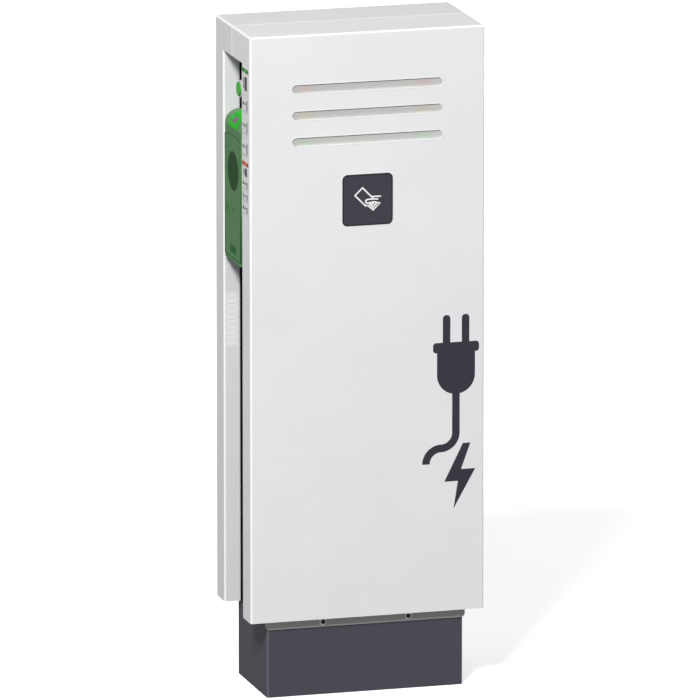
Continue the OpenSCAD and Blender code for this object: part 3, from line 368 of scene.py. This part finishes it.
def roundRect(width, height, radius, centre=(0, 0), steps=6):
    # outline of a rectangle with round corners
    points = []
    for turn, (i, j) in enumerate([(1, 1), (-1, 1), (-1, -1), (1, -1)]):
        for k in range(steps + 1):
            angle = math.radians(90 * (turn + k / steps))
            points.append((centre[0] + i * (width / 2 - radius) + radius * math.cos(angle),
                           centre[1] + j * (height / 2 - radius) + radius * math.sin(angle)))
    return points


def circle(radius, centre=(0, 0), steps=40):
    return [(centre[0] + radius * math.cos(2 * math.pi * k / steps),
             centre[1] + radius * math.sin(2 * math.pi * k / steps)) for k in range(steps)]


def addBead(bm, points, closed, width, height, place, slot=0):
    # a rounded bead along a drawn line: flat underneath, crowned on top
    section = [(-0.5, 0.0), (-0.42, 0.55), (-0.2, 0.92), (0.2, 0.92), (0.42, 0.55), (0.5, 0.0)]
    count = len(points)
    rings = []
    for i, point in enumerate(points):
        before = Vector(points[i - 1] if closed or i else point)
        after = Vector(points[(i + 1) % count] if closed or i < count - 1 else point)
        here = Vector(point)
        inward = (here - before).normalized() if (here - before).length else (after - here).normalized()
        onward = (after - here).normalized() if (after - here).length else inward
        along = (inward + onward).normalized()
        reach = min(1 / max(along.dot(inward), 0.4), 1.6)
        across = Vector((-along.y, along.x)) * width * reach
        rings.append([bm.verts.new(place(here.x + across.x * s, here.y + across.y * s, height * t))
                      for s, t in section])
    for i in range(count if closed else count - 1):
        one, two = rings[i], rings[(i + 1) % count]
        for j in range(len(section)):
            k = (j + 1) % len(section)
            bm.faces.new((one[j], one[k], two[k], two[j])).material_index = slot
    if not closed:
        bm.faces.new(rings[0]).material_index = slot
        bm.faces.new(list(reversed(rings[-1]))).material_index = slot


def addPlate(bm, outline, low, high, place, slot=0):
    # a flat plate with a drawn outline, between two heights over its face
    bottom = [bm.verts.new(place(a, b, low)) for a, b in outline]
    top = [bm.verts.new(place(a, b, high)) for a, b in outline]
    bm.faces.new(top).material_index = slot
    bm.faces.new(list(reversed(bottom))).material_index = slot
    for i in range(len(outline)):
        k = (i + 1) % len(outline)
        bm.faces.new((bottom[i], bottom[k], top[k], top[i])).material_index = slot


def finishPiece(name, bm, looks, body, smooth=False):
    # turns the drawn mesh, with the named finishes, into a piece that rides on a body
    bmesh.ops.recalc_face_normals(bm, faces=bm.faces)
    for face in bm.faces:
        face.smooth = smooth
    mesh = bpy.data.meshes.new(name)
    bm.to_mesh(mesh)
    bm.free()
    for look in looks:
        mesh.materials.append(finishes[look])
    piece = bpy.data.objects.new(name, mesh)
    bpy.context.scene.collection.objects.link(piece)
    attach(piece, body)
    return piece


def middle(node):
    # centre and size of a CAD node's box, in mm
    low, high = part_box(node)
    return (low + high) / 2 / mm, (high - low) / mm


# reader: white pictogram of a hand with a card, and the window's dark border

pictogram = {
    "line": 2.9,          # mm, width of the printed line
    "proud": 0.16,        # mm, thickness of the print
    # drawn lines, in mm from the window's middle
    "card": [(20.0, 0.4), (12.5, 0.6), (-10.4, 23.6), (-25.2, 9.2), (-4.0, -12.2), (-1.5, -9.8)],
    "wrist": [(9.4, 5.6), (25.5, 5.4)],
    "hand": [(12.5, 0.6), (1.0, 0.6), (-2.6, -0.7), (-4.2, -3.2), (-3.4, -5.8), (-0.6, -6.9), (5.0, -6.0),
             (12.6, -4.9), (24.2, -7.6), (10.9, -20.6), (-1.5, -9.8)],
    "fingers": [[(8.0, -6.0), (1.7, -12.4)], [(13.4, -5.3), (4.8, -15.1)], [(19.0, -6.4), (7.9, -17.8)]],
}


def buildPictogram():
    centre, size = middle("reader_window")
    place = onFront(centre.y - size.y / 2)
    bm = bmesh.new()
    for line in [pictogram["card"], pictogram["wrist"], pictogram["hand"], *pictogram["fingers"]]:
        moved = [(centre.x + a, centre.z + b) for a, b in line]
        addBead(bm, moved, False, pictogram["line"], pictogram["proud"], place)
        for end in (moved[0], moved[-1]):
            addPlate(bm, circle(pictogram["line"] / 2, end, 12), 0, pictogram["proud"] * 0.9, place)
    finishPiece("reader_pictogram", bm, ["white_print"], "front_cover")


readerEdge = {"width": 2.4, "proud": 0.12, "side": 100.0, "radius": 10.0, "margin": 0.2}  # mm


def buildReaderEdge():
    # raised dark border of the window, moulded with it
    centre, size = middle("reader_window")
    inset = readerEdge["width"] / 2 + readerEdge["margin"]
    side = readerEdge["side"] - 2 * inset
    bm = bmesh.new()
    path = roundRect(side, side, readerEdge["radius"] - inset, (centre.x, centre.z))
    addBead(bm, path, True, readerEdge["width"], readerEdge["proud"], onFront(centre.y - size.y / 2))
    finishPiece("reader_edge", bm, ["window_border"], "front_cover", True)


buildPictogram()
buildReaderEdge()
print("reader done")


# painted highlight: a thin bead in the cover's paint round each opening, whose leaning faces take the
# bright bend colour along the punched edges

punched = {
    "width": 2.2,          # mm, like all the sizes here
    "proud": 0.18,
    "slotLength": 298.5,
    "slotHeight": 16.5,
    "slotPitch": 51.4,
    "readerSide": 100.6,
    "readerRadius": 10.3,
}


def buildOpeningHighlights():
    cover, size = middle("reader_window")
    lights = middle("light_window")[0]
    place = onFront(cover.y - size.y / 2)
    grow = punched["width"]
    bm = bmesh.new()
    for i in (-1, 0, 1):
        height = punched["slotHeight"] + grow
        path = roundRect(punched["slotLength"] + grow, height, height / 2 - 0.01,
                         (0, lights.z + i * punched["slotPitch"]), 10)
        addBead(bm, path, True, punched["width"], punched["proud"], place)
    side = punched["readerSide"] + grow
    path = roundRect(side, side, punched["readerRadius"] + grow / 2, (cover.x, cover.z))
    addBead(bm, path, True, punched["width"], punched["proud"], place)
    # the cover paint's bend colour makes this bead a painted highlight
    finishPiece("opening_highlight_beads", bm, ["cover_paint"], "front_cover", True)


buildOpeningHighlights()


# painted shadow: a dark bead under each slot's upper edge and round its left end, where the upper edge's
# shadow falls on the opal window

slotShadowBead = {
    "width": 3.2,     # mm, half of it hides behind the cover's sheet
    "proud": 0.35,    # mm in front of the opal window
    "endTurn": 100,   # degrees of the rounded left end it follows
    "endReach": 0.6,  # part of the right end's radius it reaches into
}


def buildSlotShadowBead():
    lights, size = middle("light_window")
    place = onFront(lights.y - size.y / 2)
    radius = punched["slotHeight"] / 2
    straight = punched["slotLength"] / 2 - radius
    bm = bmesh.new()
    for i in (-1, 0, 1):
        z = lights.z + i * punched["slotPitch"]
        turn = [math.radians(90 + slotShadowBead["endTurn"] * (1 - k / 10)) for k in range(11)]
        path = [(radius * math.cos(a) - straight, z + radius * math.sin(a)) for a in turn]
        path.append((straight + radius * slotShadowBead["endReach"], z + radius))
        addBead(bm, path, False, slotShadowBead["width"], slotShadowBead["proud"], place)
    # the black foam rubber finish paints the shadow under the slot's upper edge
    finishPiece("slot_shadow_bead", bm, ["seal_rubber"], "front_cover", True)


buildSlotShadowBead()


# status lights: a tinted lens at each end of each slot

statusLights = {
    "radius": 16.5,   # mm, cut off by the slot's edges
    "proud": 0.5,
    "across": 117.5,  # mm, from the middle of the post
    "wall": 2.0,      # mm, wall of the opal window, which stands against the board
    "tints": ["diffuser_green", "diffuser_amber", "diffuser_red"],  # from the lowest slot to the highest
}


def buildStatusLights():
    lights = middle("light_window")[0]
    board, size = middle("led_board")
    place = onFront(board.y - size.y / 2 - statusLights["wall"])
    bm = bmesh.new()
    for row in range(3):
        for sign in (-1, 1):
            centre = (sign * statusLights["across"], lights.z + (row - 1) * punched["slotPitch"])
            addPlate(bm, circle(statusLights["radius"], centre), 0, statusLights["proud"], place, row)
    finishPiece("status_lenses", bm, statusLights["tints"], "front_cover")


buildStatusLights()
print("cover openings and status lenses done")


# instruction strips beside the recesses: drawn steps without any text

labels = {
    "film": 0.2,         # mm, thickness of film and print together
    "paper": 0.08,       # mm, thickness of the film alone
    "skin": 0.01,        # mm, how far a print stays off the film and off the strip's own face
    "corner": 2.0,
    "header": 8.0,       # mm, height of the coloured band at the top of each half
    "headerInset": 1.5,  # mm, from the film's edges to the band's ends, and the band's corner
    "mark": 2.2,         # mm, radius of the white dot in the band
    "margin": 1.5,
    "foot": 6.0,         # mm, free under the last step of each half
    "split": 36.0,       # mm, how far below the middle the second half starts
    "steps": 4,          # drawn steps in each half
    "line": 0.9,
    "inks": ["label_vinyl", "grey_print", "green_print", "orange_print", "dark_print", "pale_print"],
}
paper, grey, green, orange, dark, pale = range(6)  # places of the inks in that list

# sizes in mm; a place is across from the strip's middle, and up from the step's
stepDrawing = {
    "frame": (6, 4, 2),          # how much narrower and lower than the step it is, and its corner
    "corner": 1,
    "bigPost": (-4, 16, 0.66),   # place across, width, share of the step's height
    "bigPlug": (10, 5, 0.5),
    "post": (-12, 8, 0.5),
    "ground": (-18, 18, -0.34, -0.31),  # from and to across, then shares of the step's height
    "arrow": (1, 2, 12),         # place across and up, length
    "tool": (14, 2),             # place of what is held at the post: a card or a plug
    "card": (8, 6),
    "plug": 4,                   # radius
    "lead": (-7, 2, 8, 0.9),     # up from the plug's middle, width, height, corner
}


def arrow(a, b, size, turned):
    shape = [(-0.5, -0.12), (0.1, -0.12), (0.1, -0.4), (0.55, 0), (0.1, 0.4), (0.1, 0.12), (-0.5, 0.12)]
    way = -size if turned else size
    return [(a + way * x, b + way * y) for x, y in shape]


def drawStep(plate, line, mid, wide, z, pitch, step, part):
    # one step: a frame, the post standing on a line, and what is done at it
    narrower, lower, frameCorner = stepDrawing["frame"]
    line(roundRect(wide - narrower, pitch - lower, frameCorner, (mid, z)), pale)
    corner = stepDrawing["corner"]

    def block(name, ink):
        across, width, share = stepDrawing[name]
        plate(roundRect(width, pitch * share, corner, (mid + across, z)), ink)

    if step == 0:
        # the post and its plug alone, larger and dark
        block("bigPost", dark)
        block("bigPlug", dark)
        return
    block("post", grey)
    start, end, low, high = stepDrawing["ground"]
    plate([(mid + start, z + pitch * low), (mid + end, z + pitch * low),
           (mid + end, z + pitch * high), (mid + start, z + pitch * high)], grey)
    across, up, length = stepDrawing["arrow"]
    plate(arrow(mid + across, z + up, length, step % 2), green if (step + part) % 2 == 0 else grey)
    across, up = stepDrawing["tool"]
    tool = (mid + across, z + up)
    if step % 2:
        plate(roundRect(*stepDrawing["card"], corner, tool), dark)
    else:
        hang, width, height, bend = stepDrawing["lead"]
        plate(circle(stepDrawing["plug"], tool, 20), grey)
        plate(roundRect(width, height, bend, (tool[0], tool[1] + hang)), grey)


def buildSideLabels():
    centre, size = middle("side_labels")
    inner = size.x / 2 - labels["film"]
    top, bottom = centre.z + size.z / 2, centre.z - size.z / 2
    ink = labels["film"] - labels["skin"]
    raised = labels["paper"] + labels["skin"]
    bm = bmesh.new()
    for sign in sides.values():
        place = onSide(sign, inner)

        def placeRaised(a, b, out):
            return place(a, b, raised + out)

        def plate(outline, slot):
            addPlate(bm, outline, raised, ink, place, slot)

        def line(outline, slot):
            addBead(bm, outline, True, labels["line"], ink - raised, placeRaised, slot)

        film = roundRect(size.y, size.z, labels["corner"], (centre.y, centre.z))
        addPlate(bm, film, 0, labels["paper"], place, paper)
        middleLine = centre.z - labels["split"]
        halves = [(top - labels["margin"], middleLine + labels["foot"]),
                  (middleLine, bottom + labels["foot"])]
        for part, (high, low) in enumerate(halves):
            header = (centre.y, high - labels["header"] / 2)
            inset = labels["headerInset"]
            plate(roundRect(size.y - 2 * inset, labels["header"], inset, header), orange if part else green)
            # the dot lies on the band's ink, a little into it and a little out of it
            addPlate(bm, circle(labels["mark"], header, 20), ink - 0.02, ink + 0.008, place, paper)
            pitch = (high - labels["header"] - low) / labels["steps"]
            for step in range(labels["steps"]):
                z = high - labels["header"] - pitch * (step + 0.5)
                drawStep(plate, line, centre.y, size.y, z, pitch, step, part)
    piece = finishPiece("instruction_strips", bm, labels["inks"], "front_cover")
    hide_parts("side_labels")


buildSideLabels()
print("instruction strips done")


# rating plates: a pale printed film with ruled lines on the rear wall of each recess, below the outlet

ratingPlate = {
    "wall": 66.0,        # mm, the wall's place behind the middle
    "across": 217.5,     # mm, from the middle of the post to the middle of the plate
    "height": 712.0,
    "size": (26.0, 108.0),
    "corner": 2.0,
    "proud": 0.12,
    "ink": 0.05,         # mm, thickness of the printed lines
    "line": 0.8,
    "frameInset": 2.0,   # mm, from the plate's edge to the ruled frame
    "frameCorner": 1.5,
    "rows": 9,
    "rowInset": 5.0,     # mm, from the plate's sides to the ends of the rows
    "rowMargin": 12.0,   # mm, from the plate's top and foot to the outer rows
}


def buildRatingPlates():
    look = ratingPlate
    width, height = look["size"]
    proud, line = look["proud"], look["line"]
    place = onFront(look["wall"])

    def placeInk(a, b, out):
        return place(a, b, proud + out)

    rowWidth, rowCorner = width - 2 * look["rowInset"], line / 2 - 0.05  # almost round ends
    inset = 2 * look["frameInset"]
    bm = bmesh.new()
    for sign in sides.values():
        x, z = sign * look["across"], look["height"]
        addPlate(bm, roundRect(width, height, look["corner"], (x, z)), 0, proud, place, 0)
        frameLine = roundRect(width - inset, height - inset, look["frameCorner"], (x, z))
        addBead(bm, frameLine, True, line, look["ink"], placeInk, 1)
        for row in range(look["rows"]):
            level = z + (row / (look["rows"] - 1) - 0.5) * (height - 2 * look["rowMargin"])
            outline = roundRect(rowWidth, line, rowCorner, (x, level), 2)
            addPlate(bm, outline, proud, proud + look["ink"], place, 1)
    finishPiece("rating_plates", bm, ["white_print", "pale_print"], "root")


buildRatingPlates()
print("rating plates done")


# hoods: the dark line along the edges, arched at the top, the bright front rim and a small vent dot; the
# dark line along the rear edge is painted shade of the hood's rounded rear edge

hoodLines = {
    "proud": 0.45,        # mm, the shaded lines are drawn as thin beads on the hood's face
    "sideProud": 0.405,   # mm, the two upright ones, a little lower where they cross the others
    "width": 1.8,         # mm, the arched line and the foot line
    "archLow": 45.0,      # mm below the hood's top, at its edges
    "archRise": 5.0,
    "archSteps": 16,
    "footInset": 7.5,     # mm, foot line above the hood's lower edge
    "rearShadeInset": 4.0,     # mm, painted shade along the rounded rear edge, drawn as a dark bead
    "rearShadeWidth": 5.0,
    "frontInset": 9.5,    # mm, shaded groove behind the front rim
    "frontWidth": 4.5,
    "rimInset": 3.6,      # mm, bright rim along the front edge
    "rimWidth": 5.0,
    "rimTop": 8.0,        # mm, how far the rim reaches above the arch's ends
    "dot": (-1.0, 185.0, 2.6),  # along Y from the middle, mm below the top, radius
}


def buildHoodLines():
    look = hoodLines
    for side, sign in sides.items():
        centre, size = middle("flap_" + side)
        place = onSide(sign, abs(centre.x) + size.x / 2)
        front, rear = centre.y - size.y / 2, centre.y + size.y / 2
        top, bottom = centre.z + size.z / 2, centre.z - size.z / 2
        shoulder, foot = top - look["archLow"], bottom + look["footInset"]
        y0, y1 = front + look["frontInset"], rear - look["rearShadeInset"]
        bm = bmesh.new()
        steps = look["archSteps"]
        arch = [(y1 + (y0 - y1) * k / steps, shoulder + look["archRise"] * math.sin(math.pi * k / steps))
                for k in range(steps + 1)]
        addBead(bm, arch, False, look["width"], look["proud"], place)
        addBead(bm, [(y0, foot), (y1, foot)], False, look["width"], look["proud"], place)
        addBead(bm, [(y0, shoulder), (y0, foot)], False, look["frontWidth"], look["sideProud"], place)
        # painted shade: the dark bead along the rear edge stands for the shade on the hood's rounded rear
        # edge
        addBead(bm, [(y1, shoulder), (y1, foot)], False, look["rearShadeWidth"], look["sideProud"], place)
        along, below, radius = look["dot"]
        addPlate(bm, circle(radius, (centre.y + along, top - below), 20), 0, look["proud"], place)
        rim = front + look["rimInset"]
        addBead(bm, [(rim, shoulder + look["rimTop"]), (rim, foot)], False, look["rimWidth"], look["proud"],
                place, 1)
        finishPiece("hood_lines_" + side, bm, ["groove_plastic", "rim_plastic"], "flap_" + side,
                    True)


buildHoodLines()
print("hood lines done")


# equipment details seen when the cover is tilted out

equipment = {
    "screwRadius": 2.9,       # mm, like all the sizes here
    "screwSlot": 0.7,
    "screwHead": 1.2,
    "poles": 4,
    "module": 18.0,           # width of one pole of a circuit breaker
    "breakerAcross": 62.0,
    "breakerScrews": 36.0,    # from a breaker's middle up and down to its screws
    "breakerFace": 26.0,      # how far those screws lie behind the toggles' bridge
    "terminals": 9,
    "terminalPitch": 12.2,
    "terminalScrews": 14.0,
    "terminalFace": 22.0,
    "display": (25.4, 13.4, 1.0),  # width, height, corner
    "displayPlace": (18.0, 9.0),   # in from a meter's outer side, up from its middle
    "displayFace": 1.5,       # how far the display's back lies behind the meter's face
    "displayProud": 0.8,
}


def addScrew(bm, a, b, face):
    # pan head with a driving slot, drawn as two half discs
    half = equipment["screwSlot"] / 2
    radius = equipment["screwRadius"]
    turn = [math.pi * k / 10 for k in range(11)]
    for sign in (-1, 1):
        arc = [(a + radius * math.cos(t), b + sign * (half + (radius - half) * math.sin(t))) for t in turn]
        addPlate(bm, arc[::sign], 0, equipment["screwHead"], onFront(face))


def evenly(count, pitch):
    # places in a row of even pitch about its middle
    return [(k - (count - 1) / 2) * pitch for k in range(count)]


def buildScrews():
    bm = bmesh.new()
    centre, size = middle("breakers")
    face = centre.y - size.y / 2 + equipment["breakerFace"]
    for side in (-1, 1):
        for across in evenly(equipment["poles"], equipment["module"]):
            for row in (-1, 1):
                addScrew(bm, side * equipment["breakerAcross"] + across,
                         centre.z + row * equipment["breakerScrews"], face)
    centre, size = middle("terminal_block")
    face = centre.y - size.y / 2 + equipment["terminalFace"]
    for across in evenly(equipment["terminals"], equipment["terminalPitch"]):
        for row in (-1, 1):
            addScrew(bm, across, centre.z + row * equipment["terminalScrews"], face)
    finishPiece("terminal_screws", bm, ["zinc_steel"], "root")


def buildDisplays():
    # liquid crystal displays in the meters' windows
    centre, size = middle("meters")
    place = onFront(centre.y - size.y / 2 + equipment["displayFace"])
    inward, up = equipment["displayPlace"]
    bm = bmesh.new()
    for sign in (-1, 1):
        outline = roundRect(*equipment["display"], (sign * (size.x / 2 - inward), centre.z + up))
        addPlate(bm, outline, 0, equipment["displayProud"], place)
    finishPiece("meter_displays", bm, ["display_glass"], "root")


# housings of the parts soldered on the controller board

boardParts = {
    "face": 18.4,      # mm, how far the board lies behind its tallest part
    "cover": 0.2,      # mm, how far a housing stands out round the part in it
    # finish, centre along X and up from the board's middle, width, height, how far it stands off the board
    "housings": [("chip_plastic", 0, 0, 40, 40, 3.4), ("chip_plastic", -75, -5, 30, 20, 2.4),
                 ("terminal_plastic", 70, -47, 60, 16, 10.4), ("terminal_plastic", -70, -47, 60, 16, 10.4),
                 ("toggle_plastic", 56, 39, 32, 32, 13.4)],
    "capacitors": [(-50, 35), (-68, 35), (-86, 35)],  # centres
    "canRadius": 6.0,
    "canHeight": 18.4,
    "canRim": 1.0,     # mm, black sleeve left round the bare top of each can
}


def buildBoardParts():
    centre, size = middle("controller_board")
    place = onFront(centre.y - size.y / 2 + boardParts["face"])
    skin = boardParts["cover"]
    looks = ["chip_plastic", "terminal_plastic", "toggle_plastic", "zinc_steel"]
    bm = bmesh.new()
    for look, x, z, width, height, off in boardParts["housings"]:
        outline = roundRect(width + 2 * skin, height + 2 * skin, 1, (x, centre.z + z), 3)
        addPlate(bm, outline, 0, off + skin, place, looks.index(look))
    for x, z in boardParts["capacitors"]:
        at = (x, centre.z + z)
        addPlate(bm, circle(boardParts["canRadius"] + skin, at, 24), 0, boardParts["canHeight"], place, 0)
        bare = circle(boardParts["canRadius"] - boardParts["canRim"], at, 24)
        addPlate(bm, bare, boardParts["canHeight"], boardParts["canHeight"] + skin, place,
                 looks.index("zinc_steel"))
    finishPiece("board_housings", bm, looks, "root")


buildScrews()
buildDisplays()
buildBoardParts()
print("equipment details done")


# stage, light and camera

studio = {
    "floorRadius": 70.0,      # m
    "floorGlow": 0.58,        # keeps the pale floor near white
    "ambient": 0.25,
    "horizon": 0.85,
    "middle": (0, 0, 0.65),   # m, the post's middle, where the softboxes point
    # softboxes: the way to each from there, its distance and size in m, its power in W
    "key": {"way": (-0.38, -0.58, 0.63), "distance": 10.0, "size": 2.2, "power": 960.0},
    "fill": {"way": (0.72, 0.69, 0.06), "distance": 9.0, "size": 5.0, "power": 420.0},
}


def buildStage():
    bm = bmesh.new()
    bm.faces.new([bm.verts.new((x, y, 0)) for x, y in circle(studio["floorRadius"], steps=64)])
    mesh = bpy.data.meshes.new("floor")
    bm.to_mesh(mesh)
    bm.free()
    floor = bpy.data.objects.new("floor", mesh)
    bpy.context.scene.collection.objects.link(floor)
    material, shader = newSurface("studio_floor", "#fafafa", 0.8)[:2]
    shader.inputs["Emission Color"].default_value = linear("#ffffff")
    shader.inputs["Emission Strength"].default_value = studio["floorGlow"]
    mesh.materials.append(material)
    floor.visible_diffuse = False  # its bounce is part of the ambient light below
    floor.visible_glossy = False


def buildLight():
    scene = bpy.context.scene
    world = bpy.data.worlds.new("studio")
    scene.world = world
    world.use_nodes = True
    background = world.node_tree.nodes["Background"]
    place = addNode(world, "TexCoord")
    axis = addNode(world, "SeparateXYZ", links={"Vector": place.outputs["Generated"]})
    # the room is brighter near the horizon, which gives the upright faces an even light
    height = addNode(world, "Math", {"operation": "ABSOLUTE"}, {0: axis.outputs["Z"]})
    shade = addNode(world, "ValToRGB", {"ramp": [(0.05, studio["horizon"]), (0.12, studio["ambient"])]},
                    {"Fac": height.outputs[0]})
    # seen directly, the studio is as white as its floor
    ray = addNode(world, "LightPath")
    seen = addNode(world, "Mix", {"data_type": "RGBA", 7: linear("#ffffff")},
                   {0: ray.outputs["Is Camera Ray"], 6: shade.outputs["Color"]})
    world.node_tree.links.new(seen.outputs[2], background.inputs["Color"])
    for name in ("key", "fill"):
        softbox = studio[name]
        lamp = bpy.data.lights.new(name, "AREA")
        lamp.shape = "DISK"
        lamp.size = softbox["size"]
        lamp.energy = softbox["power"]
        light = bpy.data.objects.new(name, lamp)
        direction = Vector(softbox["way"]).normalized()
        light.location = Vector(studio["middle"]) + direction * softbox["distance"]
        light.rotation_mode = "QUATERNION"
        light.rotation_quaternion = direction.to_track_quat("Z", "Y")
        scene.collection.objects.link(light)
    scene.view_settings.view_transform = "Standard"


cameraPlace = {
    "eye": (-6.240, -21.507, 5.678),  # m
    "azimuth": 16.18,                 # degrees to the right of +Y
    "elevation": 12.65,               # degrees down
    "lens": 612.8,                    # mm on a 36 mm sensor
}


def buildCamera():
    lens = bpy.data.cameras.new("camera")
    lens.sensor_width = 36.0
    lens.lens = cameraPlace["lens"]
    lens.clip_end = 200.0
    camera = bpy.data.objects.new("camera", lens)
    a, e = math.radians(cameraPlace["azimuth"]), math.radians(cameraPlace["elevation"])
    ahead = Vector((math.sin(a) * math.cos(e), math.cos(a) * math.cos(e), -math.sin(e)))
    camera.location = cameraPlace["eye"]
    camera.rotation_mode = "QUATERNION"
    camera.rotation_quaternion = ahead.to_track_quat("-Z", "Y")
    bpy.context.scene.collection.objects.link(camera)
    bpy.context.scene.camera = camera


buildStage()
buildLight()
buildCamera()
print("stage, light and camera done")
